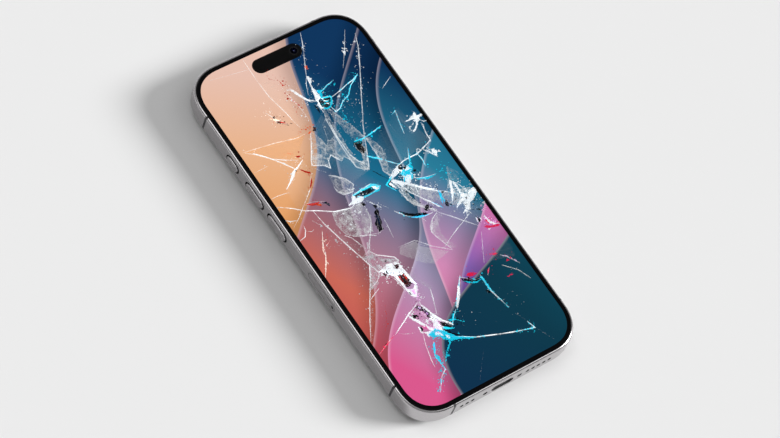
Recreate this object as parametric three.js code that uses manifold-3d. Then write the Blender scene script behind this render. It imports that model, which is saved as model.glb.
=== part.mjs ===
// A flat-sided smartphone with a shattered screen, lying on its back with the screen up.
// Millimetres. X runs to the right and Y to the top of the phone, seen from the front. Z is up.
// The origin is under the middle of the body, at the lowest point of the rear lens rings.

import * as THREE from 'three';
import { mergeVertices } from 'three/addons/utils/BufferGeometryUtils.js';
import Module from 'manifold-3d';

const wasm = await Module();
wasm.setup();

// Driving dimensions

// Body
const BODY_W = 70.4;
const BODY_H = 147.2;
const BODY_T = 8.2;
const CORNER = 13.8; // how far the corner curve runs along each side
const CORNER_POWER = 2.3; // 2 would be a plain quarter circle
const CORNER_STEPS = 10;
const EDGE_R = 1.5; // rounding of the band's long edges
const WALL = 2.0; // thickness of the band
const LIP = 0.5; // width of the band's lip around the glass
const FIT = 0.1; // clearance between fixed neighbours
const SLIDE = 0.15; // clearance around a piece that moves

// Front stack, from the top down
const GLASS_T = 0.8;
const GLASS_GAP = 0.3; // between the lip and the edge of the glass
const GLASS_EDGE = 0.25; // bevel along the edges of the glass
const GASKET_T = 0.2;
const GASKET_SUNK = 0.5; // how far the seal stays below the top of the glass
const PANEL_T = 0.55;
const BACKPLATE_T = 0.3;

// Back stack, from the back up
const BACK_GLASS_T = 0.8;
const COIL_T = 0.5;
const PLATE_GAP = 0.7; // space between back glass and mid plate, which the coil lies in
const MID_PLATE_T = 0.6;

// The screen that the crack points below are measured on, from its middle
const CRACK_SHEET_W = 65.8;
const CRACK_SHEET_H = 142.6;
const SCREEN_MARGIN = 1.5; // black border between the lit screen and the edge of the glass
const CRACK_DEPTH = 0.32;
const CRACK_POINT = 0.25; // width of a crack's ends, as a share of its own width
const CRACK_MITRE = 0.4; // a corner reaches out no further than its half width over this
const CRACK_SMOOTH = 0.03; // finest step kept in the outline of the grooves
const CHIP_DEPTH = 0.5;

// Pill-shaped cut-out and what looks out of it
const PILL_W = 20.0;
const PILL_H = 5.8;
const PILL_FROM_TOP = 7.7; // middle of the pill below the top edge of the body
const CAMERA_X = 7.0;
const CAMERA_R = 1.7;
const INFRARED_X = -3.6;
const INFRARED_R = 1.3;
const PROJECTOR_X = -7.4;
const PROJECTOR_R = 1.1;
const SENSOR_BODY = 5.0;
const ISLAND_T = 0.4;
const EARPIECE = { h: 5.2, t: 3.2, belowPill: 7.2, cameraGap: 2.7 };

// Buttons: from the top end of the body down to the middle, and length
const BUTTON_H = 3.0;
const BUTTON_PROUD = 0.45;
const BUTTON_TRAVEL = 0.3;
const FLANGE_T = 0.4;
const FLANGE_RIM = 0.6;
const DOME_T = 0.25;
const DOME_R = 1.0;
const BRACKET_T = 0.4;
const BRACKET_H = 2.4;
const ACTION = { down: 34.55, length: 6.5 };
const VOLUME_UP = { down: 48.35, length: 10.3 };
const VOLUME_DOWN = { down: 62.25, length: 10.7 };
const SIDE_KEY = { down: 51.6, length: 18.5 };

// Card tray
const TRAY_Y = -16.05;
const TRAY_LENGTH = 15.5;
const TRAY_H = 3.0;
const TRAY_DEPTH = 11.6; // of the carrier behind the front plate
const TRAY_T = 1.3;
const TRAY_RIM = 0.55;
const PIN_HOLE_R = 0.55;
const PIN_HOLE_IN = 1.2; // from the lower end of the plate to the middle of the hole
const CARD_W = 12.3;
const CARD_D = 8.8;
const CARD_T = 0.67;
const READER_WALL = 0.35;

// Antenna strips, placed from the corners of the body
const STRIP_W = 0.9;
const STRIP_DEPTH = 0.8;
const STRIP_TOP_IN = 15.4;
const STRIP_BOTTOM_IN = 14.7;
const STRIP_UPPER_DOWN = 16.6;
const STRIP_LOWER_UP = 15.6;

// Bottom edge
const PORT_W = 8.94;
const PORT_H = 3.16;
const PORT_WALL = 0.3;
const PORT_DEPTH = 7.4;
const PORT_SUNK = 0.3;
const TONGUE_W = 6.7;
const TONGUE_T = 0.7;
const TONGUE_SHORT = 0.9; // how far the tongue stays inside the mouth
const SOUND_HOLE_R = 0.75;
const HOLE_PITCH = 2.3;
const MIC_HOLES = { count: 3, fromSide: 13.0 }; // midway between the screw and this far from the side
const SPEAKER_HOLES = { count: 5, fromScrew: 3.4 }; // first hole from the screw
const MESH_T = 0.2;
const MESH_RIM = 0.6;
const MESH_H = 2.6;
const SCREW_X = 7.2;
const SCREW_HEAD_R = 0.8;
const SCREW_HEAD_T = 0.6;
const SCREW_SUNK = 0.3;
const SCREW_SHANK_R = 0.5;
const SCREW_LENGTH = 4.6;

// Rear cameras
const PLATEAU = { in: 15.7, down: 26.1, w: 19.0, t: 1.5 }; // middle from the side and the top end
const LENS_PITCH = 18.0;
const RING_R = 6.4;
const RING_WALL = 1.0;
const RING_PROUD = 1.0;
const LENS_COVER_T = 0.6;
const LENS_COVER_SUNK = 0.4;
const REAR_BARREL_R = 4.9;
const REAR_BODY = 12.6;
const FLASH = { r: 2.4, proud: 0.2, gap: 2.0 };

// Inside. The battery fills the space that its neighbours leave.
const PACKING = 2.0; // space around the battery
const BATTERY = { t: 3.95, corner: 3.0 };
const ADHESIVE = { w: 9.0, short: 6.5, t: 0.12, in: 9.1 };
const BOARD = { w: 18.9, t: 0.6, wallGap: 1.3, cameraGap: 3.7, earpieceGap: 1.1, flexGap: 7.0 };
const SHIELD_T = 2.0;
const SHIELD_MARGIN = 1.0;
const SHIELD_READER_GAP = 2.75;
const COWLING = { aboveTray: 18.05, w: 15.0, h: 11.0, t: 1.2 };
const COWLING_SCREW_R = 0.9;
const COWLING_SCREW_T = 0.4;
const COWLING_SCREW_IN = 1.75; // from the end of the cowling to the middle of its screw
const DISPLAY_FLEX = { gap: 3.5, w: 12.0, h: 8.0, t: 0.15 };
const PORT_FLEX = { w: 10.0, t: 0.15, arm: 4.0, gap: 4.2, boardGap: 0.4 };
const HAPTIC = { h: 8.6, t: 3.4, wallGap: 2.7, flexGap: 3.5 };
const LOUDSPEAKER = { left: 8.2, h: 20.0, t: 3.9, wallGap: 0.8 };
const MICROPHONE = { w: 7.6, h: 2.2, t: 1.4 };
const COIL = { x: -4.0, y: -6.0, outer: 23.0, inner: 10.0 };

// Levels and faces worked out

const LENS_LOW = 0;
const PLATEAU_LOW = LENS_LOW + RING_PROUD;
const Z_BACK = PLATEAU_LOW + PLATEAU.t;
const Z_TOP = Z_BACK + BODY_T;
const Z_MID = (Z_BACK + Z_TOP) / 2;
const GLASS_LOW = Z_TOP - GLASS_T;
const LEDGE = GLASS_LOW - GASKET_T;
const PANEL_LOW = GLASS_LOW - PANEL_T;
const BACKPLATE_LOW = PANEL_LOW - BACKPLATE_T;
const BACK_GLASS_TOP = Z_BACK + BACK_GLASS_T;
const MID_LOW = BACK_GLASS_TOP + PLATE_GAP;
const MID_TOP = MID_LOW + MID_PLATE_T;
const BOARD_LOW = MID_TOP + FIT;
const BOARD_TOP = BOARD_LOW + BOARD.t;
const SIDE = BODY_W / 2;
const END = BODY_H / 2;
const GLASS_INSET = LIP + GLASS_GAP;
const PILL_Y = END - PILL_FROM_TOP;
const INNER = SIDE - WALL; // inner face of the band's long sides
const PLATEAU_X = SIDE - PLATEAU.in;
const PLATEAU_Y = END - PLATEAU.down;
const PORT_MOUTH = -END + PORT_SUNK;
const PORT_BACK = PORT_MOUTH + PORT_DEPTH;
const BEHIND_MESH = -END + WALL + FIT + MESH_T + FIT;
const HAPTIC_LOW = PORT_BACK + FIT;
const FLEX_TURN = HAPTIC_LOW + HAPTIC.h + PORT_FLEX.gap; // lower edge of the ribbon's arm
const BOARD_LEFT = -INNER + BOARD.wallGap;
const BOARD_RIGHT = BOARD_LEFT + BOARD.w;
const BOARD_BOTTOM = FLEX_TURN + PORT_FLEX.arm + BOARD.flexGap;
const EARPIECE_Y = PILL_Y - EARPIECE.belowPill;
const EARPIECE_W = 2 * (PLATEAU_X - REAR_BODY / 2 - EARPIECE.cameraGap);
const MIC_ROW = { x: -(SCREW_X + SIDE - MIC_HOLES.fromSide) / 2, count: MIC_HOLES.count };
const SPEAKER_ROW = {
  x: SCREW_X + SPEAKER_HOLES.fromScrew + ((SPEAKER_HOLES.count - 1) * HOLE_PITCH) / 2,
  count: SPEAKER_HOLES.count,
};
const BOARD_HEAD = EARPIECE_Y - EARPIECE.h / 2 - BOARD.earpieceGap;
const ARM_RIGHT = PLATEAU_X - REAR_BODY / 2 - BOARD.cameraGap;
const ARM_BOTTOM = PLATEAU_Y - LENS_PITCH / 2 - REAR_BODY / 2 - PACKING;

// Geometry helpers

// The body's outline moved inwards by inset: straight sides and superellipse corners.
function outline(inset, steps = CORNER_STEPS) {
  const halfW = BODY_W / 2 - inset;
  const halfH = BODY_H / 2 - inset;
  const reach = Math.max(CORNER - inset, 0.5);
  const points = [];
  for (let quarter = 0; quarter < 4; quarter += 1) {
    const sx = quarter === 0 || quarter === 3 ? 1 : -1;
    const sy = quarter < 2 ? 1 : -1;
    for (let i = 0; i <= steps; i += 1) {
      const along = quarter % 2 === 0 ? i / steps : 1 - i / steps;
      const t = (along * Math.PI) / 2;
      const x = halfW - reach + reach * Math.cos(t) ** (2 / CORNER_POWER);
      const y = halfH - reach + reach * Math.sin(t) ** (2 / CORNER_POWER);
      points.push(new THREE.Vector2(sx * x, sy * y));
    }
  }
  return points;
}

// A rectangle with round corners, around the middle given.
function roundRect(cx, cy, w, h, r, steps = 4) {
  const points = [];
  const corner = Math.min(r, w / 2 - 0.01, h / 2 - 0.01);
  for (let quarter = 0; quarter < 4; quarter += 1) {
    const sx = quarter === 0 || quarter === 3 ? 1 : -1;
    const sy = quarter < 2 ? 1 : -1;
    for (let i = 0; i <= steps; i += 1) {
      const t = ((quarter + i / steps) * Math.PI) / 2;
      points.push(new THREE.Vector2(
        cx + sx * (w / 2 - corner) + corner * Math.cos(t),
        cy + sy * (h / 2 - corner) + corner * Math.sin(t),
      ));
    }
  }
  return points;
}

// A flat sheet with this outline between two heights, with the outlines of any holes.
function sheet(points, low, high, ...holes) {
  const shape = new THREE.Shape(points);
  holes.forEach((hole) => shape.holes.push(new THREE.Path(hole)));
  const geometry = new THREE.ExtrudeGeometry(shape, { depth: high - low, bevelEnabled: false });
  return geometry.translate(0, 0, low);
}

function block(cx, cy, w, h, low, high) {
  return new THREE.BoxGeometry(w, h, high - low).translate(cx, cy, (low + high) / 2);
}

// A round post standing between two heights.
function post(cx, cy, r, low, high, sides = 20) {
  return new THREE.CylinderGeometry(r, r, high - low, sides)
    .rotateX(Math.PI / 2)
    .translate(cx, cy, (low + high) / 2);
}

// A flat ring standing between two heights.
function ring(cx, cy, inner, outer, low, high, sides = 28) {
  const profile = [[inner, low], [outer, low], [outer, high], [inner, high], [inner, low]];
  return new THREE.LatheGeometry(profile.map(([r, z]) => new THREE.Vector2(r, z)), sides)
    .rotateX(Math.PI / 2)
    .translate(cx, cy, 0);
}

// A bar along X whose section is a rounded rectangle length (along Y) by height (along Z).
function barAlongX(x0, x1, y, z, length, height, steps = 4) {
  const shape = new THREE.Shape(roundRect(0, 0, length, height, height / 2, steps));
  const geometry = new THREE.ExtrudeGeometry(shape, { depth: Math.abs(x1 - x0), bevelEnabled: false });
  geometry.rotateX(Math.PI / 2).rotateZ(Math.PI / 2);
  return geometry.translate(Math.min(x0, x1), y, z);
}

// A bar along Y whose section is a rounded rectangle width (along X) by height (along Z).
function barAlongY(y0, y1, x, z, width, height, steps = 4) {
  const shape = new THREE.Shape(roundRect(0, 0, width, height, height / 2, steps));
  const geometry = new THREE.ExtrudeGeometry(shape, { depth: Math.abs(y1 - y0), bevelEnabled: false });
  geometry.rotateX(Math.PI / 2);
  return geometry.translate(x, Math.max(y0, y1), z);
}

function rodAlongX(x0, x1, y, z, r, sides = 12) {
  return new THREE.CylinderGeometry(r, r, Math.abs(x1 - x0), sides)
    .rotateZ(Math.PI / 2)
    .translate((x0 + x1) / 2, y, z);
}

function rodAlongY(y0, y1, x, z, r, sides = 12) {
  return new THREE.CylinderGeometry(r, r, Math.abs(y1 - y0), sides).translate(x, (y0 + y1) / 2, z);
}

function solid(geometry) {
  const bare = geometry.clone();
  bare.deleteAttribute('normal');
  bare.deleteAttribute('uv');
  const merged = mergeVertices(bare, 1e-4);
  return new wasm.Manifold(new wasm.Mesh({
    numProp: 3,
    vertProperties: new Float32Array(merged.attributes.position.array),
    triVerts: new Uint32Array(merged.index.array),
  }));
}

function join(...geometries) {
  return geometries.map(solid).reduce((whole, piece) => whole.add(piece));
}

function backToGeometry(manifold) {
  const mesh = manifold.getMesh();
  const geometry = new THREE.BufferGeometry();
  geometry.setAttribute('position', new THREE.BufferAttribute(mesh.vertProperties, 3));
  geometry.setIndex(new THREE.BufferAttribute(mesh.triVerts, 1));
  geometry.computeVertexNormals();
  return geometry;
}

// Materials

const paint = (color, roughness, metalness = 0) => (
  new THREE.MeshStandardMaterial({ color, roughness, metalness })
);
const bandMetal = paint('#b9babc', 0.35, 0.9);
const stripPlastic = paint('#8d8e90', 0.55);
const glassBlack = paint('#1b1d22', 0.12);
const sealBlack = paint('#141416', 0.8);
const screenPicture = paint('#c98a72', 0.3);
const sheetSteel = paint('#a7a9ac', 0.4, 0.9);
const lensBlack = paint('#0b0d12', 0.08);
const backColour = paint('#c9c6c0', 0.3);
const pouchBlack = paint('#222326', 0.6);
const adhesiveWhite = paint('#d9d9d4', 0.7);
const boardGreen = paint('#17303a', 0.5);
const flexAmber = paint('#6b4a21', 0.5);
const cardWhite = paint('#e4e2dc', 0.6);
const copper = paint('#b0673a', 0.35, 0.9);
const plasticBlack = paint('#1d1e20', 0.6);

const phone = new THREE.Group();
phone.name = 'shattered_screen_phone';

function place(name, shape, material, group = phone) {
  const geometry = shape.isBufferGeometry ? shape : backToGeometry(shape);
  const mesh = new THREE.Mesh(geometry, material);
  mesh.name = name;
  group.add(mesh);
  return mesh;
}

// Cracks in the cover glass

// Each crack is [width, x, y, x, y, ...] on the crack sheet, running from point to point.
const CRACKS_UPPER_LEFT = [
  [0.2, -11.3, 70.5, -11.5, 60, -11.2, 54, -9.5, 46, -9, 42, -8.3, 39],
  [0.14, -26, 68.8, -12, 66.5],
  [0.55, -2.9, 53.8, 0, 47, 4, 44],
  [0.2, -5.1, 52.8, -4.6, 49, -4, 46.8, -3.9, 44, -3.8, 40],
  [0.2, -31.5, 39.6, -20, 37.8, -12, 36, -8, 36],
  [0.18, -31, 39.2, -28, 37, -24, 33, -20, 30.5, -16, 28.5],
  [0.25, -15.8, 49.3, -14, 45.2, -11.5, 42],
];
const CRACKS_HUB_A = [
  [0.5, 4, 46, 4.2, 50, 5, 55.2],
  [0.22, 5, 55, 6.5, 58, 9.5, 63.5, 11.5, 67.5, 13, 71],
  [0.18, 1.5, 48.5, 3, 52, 4.5, 54.5],
  [0.25, 5.5, 47.3, 9.5, 48.8, 12.8, 49.5],
  [0.3, 8, 44, 13, 45, 15.5, 45.8, 19, 46.5, 21.9, 47.8],
  [0.3, 21.5, 47.5, 17, 45, 14, 42, 11, 41, 8.5, 39, 6.5, 38.5, 6, 41],
];
const CRACKS_LONG_RIGHT = [
  [0.25, 30.4, 62, 28, 56.5, 24, 49.5, 20, 43, 17.5, 39, 14, 33, 12, 30, 9.7, 25.5, 6.5, 19, 4.5, 15,
    3.2, 14],
  [0.14, 28, 65, 23.5, 58.5, 18.5, 52],
  [0.18, 26.3, 38.9, 28.5, 40, 31.7, 41.6],
  [0.25, 23.3, 28.6, 25.3, 29.4, 24.5, 26.5, 23.5, 22.5, 23, 20.3],
];
const CRACKS_LEFT = [
  [0.3, -28.5, 37.8, -25.5, 34.8, -22, 30.5, -19.5, 27, -18.8, 25.8],
  [0.5, -26, 20.8, -21, 23.8, -19.5, 25.5, -17.5, 26.3, -14.5, 27.9],
  [0.16, -32, 7.2, -28, 9.8, -23, 13.7, -19, 16.8, -15, 22],
  [0.3, -32.6, 16.6, -28, 13.5, -25, 11, -21, 9, -16, 6, -10, 4.5, -5.5, 6.5],
  [0.26, -22.5, 9.8, -22, 5, -20.5, -2, -18.5, -10, -16.8, -16.5, -20.5, -22.5, -24.5, -28, -28.5, -34,
    -32.6, -40.6],
  [0.22, -33, 2, -30.3, 2.6, -29, 4.5, -28.4, 6.1],
  [0.18, -32.3, 31.2, -26.8, 31.3],
  [0.16, -33, 20, -30, 20, -25.8, 19.4],
  [0.3, -24, 1.7, -26.5, -2.5, -28, -6.5, -31, -11, -32.9, -13.6],
  [0.2, -27.5, -4.3, -25.8, -3.6, -23.6, -2.5],
];
const CRACKS_MIDDLE = [
  [0.25, -6, 36, -8, 32.5, -12, 26.5, -13, 24.5, -9, 22.5, -7.8, 20.7, -6.8, 23.5, -4.8, 25, -2.7, 21.3],
  [0.2, -10, 18.8, -5.5, 15, -4.2, 11.8, -6.5, 9.5, -9.5, 10, -10.8, 12, -10.8, 14.2],
  [0.25, 1.5, 38, 1, 32, 0.5, 27, 0.3, 20, 0.5, 17, 2.3, 15, 4.2, 14.1],
  [0.2, 2, 36.2, 1.2, 30, 1.2, 22, 2.5, 18.5, 4.1, 16.9],
  [0.25, 9.9, 25.1, 9.6, 17, 8, 11.5, 10, 7.8],
  [0.35, -7.2, 8.4, -2, 9, 1, 9.2, 3.9, 7.1],
  [0.3, -4.2, 5.7, 0, 6.2, 3, 6.4],
  [0.3, 5.8, 26, 9, 25.3, 12.5, 25.7, 17.6, 26.8],
  [0.3, 6.1, 19.2, 9, 16.5, 12.5, 13, 14.7, 10.8],
  [0.3, 8.3, 7.8, 11, 9.8, 16.5, 11.5, 22, 11.6, 27, 13, 29.8, 14, 30, 17, 30.8, 21],
];
const CRACKS_HUB_C = [
  [0.3, 12, 4.8, 15, 9, 18, 9.6],
  [0.3, 18, 9.5, 19, 11.8, 20.8, 15.1],
  [0.3, 22.5, 12, 22.8, 9, 22.5, 6.1],
  [0.35, 16.3, 4.1, 19, 2.7, 23.7, 2.1],
  [0.25, 26, 24.2, 30.3, 23.8, 33, 24.2],
  [0.25, 31, 26, 30, 22.5, 28, 20.5, 26.2, 19.6],
  [0.25, 27, 12, 29.3, 9.3, 28, 8, 25.2, 12.1],
];
const CRACKS_LOWER_LEFT = [
  [0.3, -18.1, -3.2, -16.5, -5, -14.4, -10.6],
  [0.25, -15, -5.2, -10.5, -7, -6.4, -8],
  [0.35, -7, -3, -10, -7, -12.5, -10, -14.6, -13.1],
  [0.2, -2.3, -4, -2.9, -8, -3.5, -11.6],
  [0.2, -15.5, -21, -18, -23, -21.2, -24.1],
  [0.25, -24.2, -27.8, -21.5, -26.5, -18.9, -25.4],
];
const CRACKS_HUB_E = [
  [0.3, -17.4, -13, -14, -12, -12.5, -14.5, -7.5, -18, -6.8, -20],
  [0.3, -7, -20, -12, -19.5, -15.5, -20.5, -16.6, -16.8],
  [0.3, -12, -22, -11, -29, -10.5, -33, -9.2, -34.4],
  [0.3, -7.5, -20.3, -7.3, -26, -7, -30, -9.3, -34],
];
const CRACKS_RIGHT = [
  [0.35, 14, 2.1, 17, -1, 21, -4, 26.7, -8.1],
  [0.35, 11, 1.2, 13, -2, 15, -5, 18.1, -9.7],
  [0.25, 16, -10.8, 19, -14, 21.5, -17, 25.6, -21.6],
  [0.3, 2.5, -3.3, 5, -6.5, 8, -9, 11, -9.8, 14.2, -10],
  [0.25, 8.5, 2.1, 9.5, -3, 12, -6, 15, -9, 16.1, -10.7],
  [0.2, 15.5, -10.5, 12.5, -12, 9.5, -16, 10, -18.5, 12.1, -24.7],
  [0.22, -4.2, -15.5, 2.5, -16, 7, -21, 12.2, -25.1],
  [0.35, 26.7, -1.8, 25.5, -6, 22.3, -9.7],
  [0.35, 32.9, -9.5, 27, -9, 22.6, -12.3],
  [0.3, 27.1, -8.7, 26, -13, 23.9, -17.2],
  [0.25, 27.4, -3.8, 27.2, -8.8],
  [0.22, 9.8, -23.1, 14, -21, 18.5, -19, 25.2, -16.4],
  [0.25, 25, -24, 19, -34.2],
  [0.35, 29.4, -22.4, 32.7, -24.3],
];
const CRACKS_BOTTOM = [
  [0.35, -23.8, -42.4, -21, -41, -15.5, -38.3, -10, -35.9],
  [0.3, -32.7, -45.9, -29, -44.3, -24.3, -42.4],
  [0.3, -15.8, -38.8, -14, -42, -12.4, -46.2],
  [0.3, -10.1, -36.3, -8.5, -41, -6.5, -45.5, -3.8, -48.1],
  [0.35, -7, -52, 0, -56, 8, -59, 14, -61, 20.3, -62.7, 19.3, -59.5],
  [0.3, -13.8, -50.6, -15, -53.5, -16.2, -55, -16, -61, -18.5, -62.5, -22.4, -67.2],
  [0.22, -15, -45.8, -17, -51, -18.3, -56, -18.7, -58.7],
  [0.22, -3.4, -33.8, -4.5, -37, -6.9, -42.7],
  [0.22, 0.1, -44, -4, -48, -5.6, -49.6],
  [0.35, 0.4, -44, 3, -40.8, 5.5, -38.5, 8.6, -34.3],
  [0.3, 8.4, -34.9, 12, -38, 14.2, -38.5],
  [0.3, 15, -37.3, 14.8, -42.5, 15.4, -46.5, 16.8, -52.2],
  [0.25, 17.4, -38.7, 19.6, -36.4],
  [0.2, 25.7, -34.3, 27.5, -36, 30.1, -40.2],
  [0.25, 24, -37.8, 28, -42, 30.1, -46.7],
];
const CRACKS = [
  ...CRACKS_UPPER_LEFT, ...CRACKS_HUB_A, ...CRACKS_LONG_RIGHT, ...CRACKS_LEFT, ...CRACKS_MIDDLE,
  ...CRACKS_HUB_C, ...CRACKS_LOWER_LEFT, ...CRACKS_HUB_E, ...CRACKS_RIGHT, ...CRACKS_BOTTOM,
];

// Places where splinters of glass have gone, as closed outlines on the crack sheet.
const CHIPS = [
  [-14.7, 45.1, -14.2, 43.7, -12.8, 43, -11.3, 41.8, -12.1, 43.2, -13.4, 44.4],
  [2.5, 45.5, 3, 43, 4.5, 41.7, 6.5, 42, 8.2, 44.3, 6, 45.5, 4.5, 45.9],
  [5, 25.1, 4.7, 22.5, 5.5, 20.5, 7, 22.5, 7.5, 24.6],
  [-7, 8.1, -4, 6.1, 0, 6.6, 3.4, 7, 1, 8.6, -2.5, 8.7],
  [12.3, 8.4, 14.4, 8, 16.1, 8.8, 15.4, 10, 13.9, 10.1],
  [5.7, 6.6, 7.6, 3.3, 9, 7.9],
  [-2.7, 0, -3.5, -2, -5.5, -5, -7.1, -7.9, -5, -7.5, -4, -4],
  [-11, -23.3, -8.5, -23.8, -7.8, -27, -9, -29.2, -10.8, -28],
  [-11.8, -36.8, -10.4, -37.5, -9, -42, -8, -45.3, -10.6, -42.5],
  [-8, -45.6, -5.8, -46.6, -4.9, -49.2, -7.3, -50.8, -9, -48],
  [-24, 13.2, -22, 11.8, -18.2, 11, -16, 9, -16.9, 11, -20.4, 12.6],
  [12, -8.1, 13.8, -6.1, 14.8, -5.8, 14.1, -7.6, 12.8, -8.9],
];

const sheetX = (BODY_W - 2 * GLASS_INSET - 2 * SCREEN_MARGIN) / CRACK_SHEET_W;
const sheetY = (BODY_H - 2 * GLASS_INSET - 2 * SCREEN_MARGIN) / CRACK_SHEET_H;

// Flat numbers x, y, x, y, ... as points on the glass.
function onGlass(numbers) {
  const points = [];
  for (let i = 0; i < numbers.length; i += 2) {
    points.push(new THREE.Vector2(numbers[i] * sheetX, numbers[i + 1] * sheetY));
  }
  return points;
}

// The outline of a crack: its two sides mitred from point to point, narrow at both ends.
function crackOutline(points, width) {
  const last = points.length - 1;
  const heading = (i) => points[i + 1].clone().sub(points[i]).normalize();
  const sides = [[], []];
  points.forEach((point, i) => {
    const before = heading(Math.max(i - 1, 0));
    const after = heading(Math.min(i, last - 1));
    const along = before.clone().add(after).normalize();
    const half = (i === 0 || i === last ? CRACK_POINT : 1) * width / 2;
    const reach = half / Math.max(along.dot(after), CRACK_MITRE);
    const across = new THREE.Vector2(-along.y, along.x).multiplyScalar(reach);
    sides[0].push(point.clone().add(across));
    sides[1].unshift(point.clone().sub(across));
  });
  return sides.flat();
}

// Flat outlines run together where they cross, each with its holes, and cut as one set of grooves.
function grooves(outlines, depth) {
  const flat = outlines.map((points) => (
    new wasm.CrossSection([points.map(({ x, y }) => [x, y])], 'NonZero')
  ));
  const joined = wasm.CrossSection.union(flat).simplify(CRACK_SMOOTH);
  const pieces = joined.decompose().map((piece) => {
    const [rim, ...holes] = piece.toPolygons().map((polygon) => (
      polygon.map(([x, y]) => new THREE.Vector2(x, y))
    ));
    return solid(sheet(rim, Z_TOP - depth, Z_TOP + 1, ...holes));
  });
  return wasm.Manifold.union(pieces);
}

// The rounded top of the sheet: the outline drawn in by the edge bevel at its very top.
function glassSheet() {
  const shape = new THREE.Shape(outline(GLASS_INSET + GLASS_EDGE));
  return new THREE.ExtrudeGeometry(shape, {
    depth: GLASS_T - 2 * GLASS_EDGE,
    bevelEnabled: true,
    bevelSize: GLASS_EDGE,
    bevelThickness: GLASS_EDGE,
    bevelSegments: 1,
  }).translate(0, 0, GLASS_LOW + GLASS_EDGE);
}

function makeCoverGlass() {
  const cracks = CRACKS.map(([width, ...numbers]) => crackOutline(onGlass(numbers), width));
  return solid(glassSheet())
    .subtract(grooves(cracks, CRACK_DEPTH))
    .subtract(grooves(CHIPS.map(onGlass), CHIP_DEPTH));
}
place('cover_glass', makeCoverGlass(), glassBlack);

// The band

// The body's full solid with both long edges rounded.
function bodyBlock() {
  const shape = new THREE.Shape(outline(EDGE_R));
  return solid(new THREE.ExtrudeGeometry(shape, {
    depth: BODY_T - 2 * EDGE_R,
    bevelEnabled: true,
    bevelSize: EDGE_R,
    bevelThickness: EDGE_R,
    bevelSegments: 4,
  }).translate(0, 0, Z_BACK + EDGE_R));
}

const STRIPS = [
  ['antenna_strip_top', SIDE - STRIP_TOP_IN, END, 0, 1],
  ['antenna_strip_bottom', -SIDE + STRIP_BOTTOM_IN, -END, 0, -1],
  ['antenna_strip_left_upper', -SIDE, END - STRIP_UPPER_DOWN, -1, 0],
  ['antenna_strip_left_lower', -SIDE, -END + STRIP_LOWER_UP, -1, 0],
  ['antenna_strip_right_upper', SIDE, END - STRIP_UPPER_DOWN, 1, 0],
  ['antenna_strip_right_lower', SIDE, -END + STRIP_LOWER_UP, 1, 0],
];

// A block across the band at a strip's place, reaching this deep from the outer face.
function stripBlock([, x, y, nx, ny], width, depth) {
  const out = 1;
  const cx = x + nx * (out - depth) / 2;
  const cy = y + ny * (out - depth) / 2;
  const w = nx ? depth + out : width;
  const h = ny ? depth + out : width;
  return solid(block(cx, cy, w, h, Z_BACK - 1, Z_TOP + 1));
}

const KEYS = [
  ['action_button', ACTION, -1],
  ['volume_up_button', VOLUME_UP, -1],
  ['volume_down_button', VOLUME_DOWN, -1],
  ['side_button', SIDE_KEY, 1],
];

const keyY = (key) => END - key.down;

// Middles of a row of like holes along the bottom edge.
const holeXs = (row) => Array.from({ length: row.count }, (_, i) => (
  row.x + (i - (row.count - 1) / 2) * HOLE_PITCH
));

// The mesh behind a row of holes, or with a clearance the pocket that it sits in.
function meshBlock(row, clearance) {
  const w = (row.count - 1) * HOLE_PITCH + 2 * (SOUND_HOLE_R + MESH_RIM + clearance);
  const h = MESH_H / 2 + clearance;
  return block(row.x, BEHIND_MESH - FIT - MESH_T / 2, w, MESH_T + 2 * clearance, Z_MID - h, Z_MID + h);
}

function bandBlank() {
  let band = bodyBlock();
  band = band.subtract(solid(sheet(outline(LIP), LEDGE, Z_TOP + 1)));
  band = band.subtract(solid(sheet(outline(LIP), Z_BACK - 1, BACK_GLASS_TOP + FIT)));
  return band.subtract(solid(sheet(outline(WALL), Z_BACK - 1, Z_TOP + 1)));
}

function makeBand(blank) {
  let band = blank;
  for (const strip of STRIPS) {
    band = band.subtract(stripBlock(strip, STRIP_W + 2 * FIT, STRIP_DEPTH + FIT));
  }
  const past = 1;
  for (const [, key, side] of KEYS) {
    const slot = barAlongX(side * (SIDE - WALL - past), side * (SIDE + past), keyY(key), Z_MID,
      key.length + 2 * SLIDE, BUTTON_H + 2 * SLIDE);
    band = band.subtract(solid(slot));
  }
  band = band.subtract(solid(barAlongX(-SIDE - past, -SIDE + WALL + past, TRAY_Y, Z_MID,
    TRAY_LENGTH + 2 * SLIDE, TRAY_H + 2 * SLIDE)));
  band = band.subtract(solid(barAlongY(-END - past, -END + WALL + past, 0, Z_MID,
    PORT_W + 2 * FIT, PORT_H + 2 * FIT)));
  for (const x of [...holeXs(MIC_ROW), ...holeXs(SPEAKER_ROW)]) {
    band = band.subtract(solid(rodAlongY(-END - past, -END + WALL + past, x, Z_MID, SOUND_HOLE_R)));
  }
  for (const row of [MIC_ROW, SPEAKER_ROW]) {
    band = band.subtract(solid(meshBlock(row, FIT)));
  }
  for (const x of [-SCREW_X, SCREW_X]) {
    const seat = -END + SCREW_SUNK + SCREW_HEAD_T + FIT;
    band = band.subtract(solid(rodAlongY(-END - past, seat, x, Z_MID, SCREW_HEAD_R + FIT)));
    band = band.subtract(solid(rodAlongY(seat - FIT, -END + WALL + past, x, Z_MID, SCREW_SHANK_R + FIT)));
  }
  return band;
}

const blank = bandBlank();
place('side_frame', makeBand(blank), bandMetal);
for (const strip of STRIPS) {
  place(strip[0], blank.intersect(stripBlock(strip, STRIP_W, STRIP_DEPTH)), stripPlastic);
}

// Front stack

// Seal: a flat ring under the rim of the glass with a thin upstand around its edge.
const sealOut = LIP + FIT / 2;
const sealUp = GLASS_INSET - FIT / 2;
place('display_gasket', join(
  sheet(outline(sealOut), LEDGE, GLASS_LOW, outline(WALL)),
  sheet(outline(sealOut), LEDGE, Z_TOP - GASKET_SUNK, outline(sealUp)),
), sealBlack);

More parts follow.
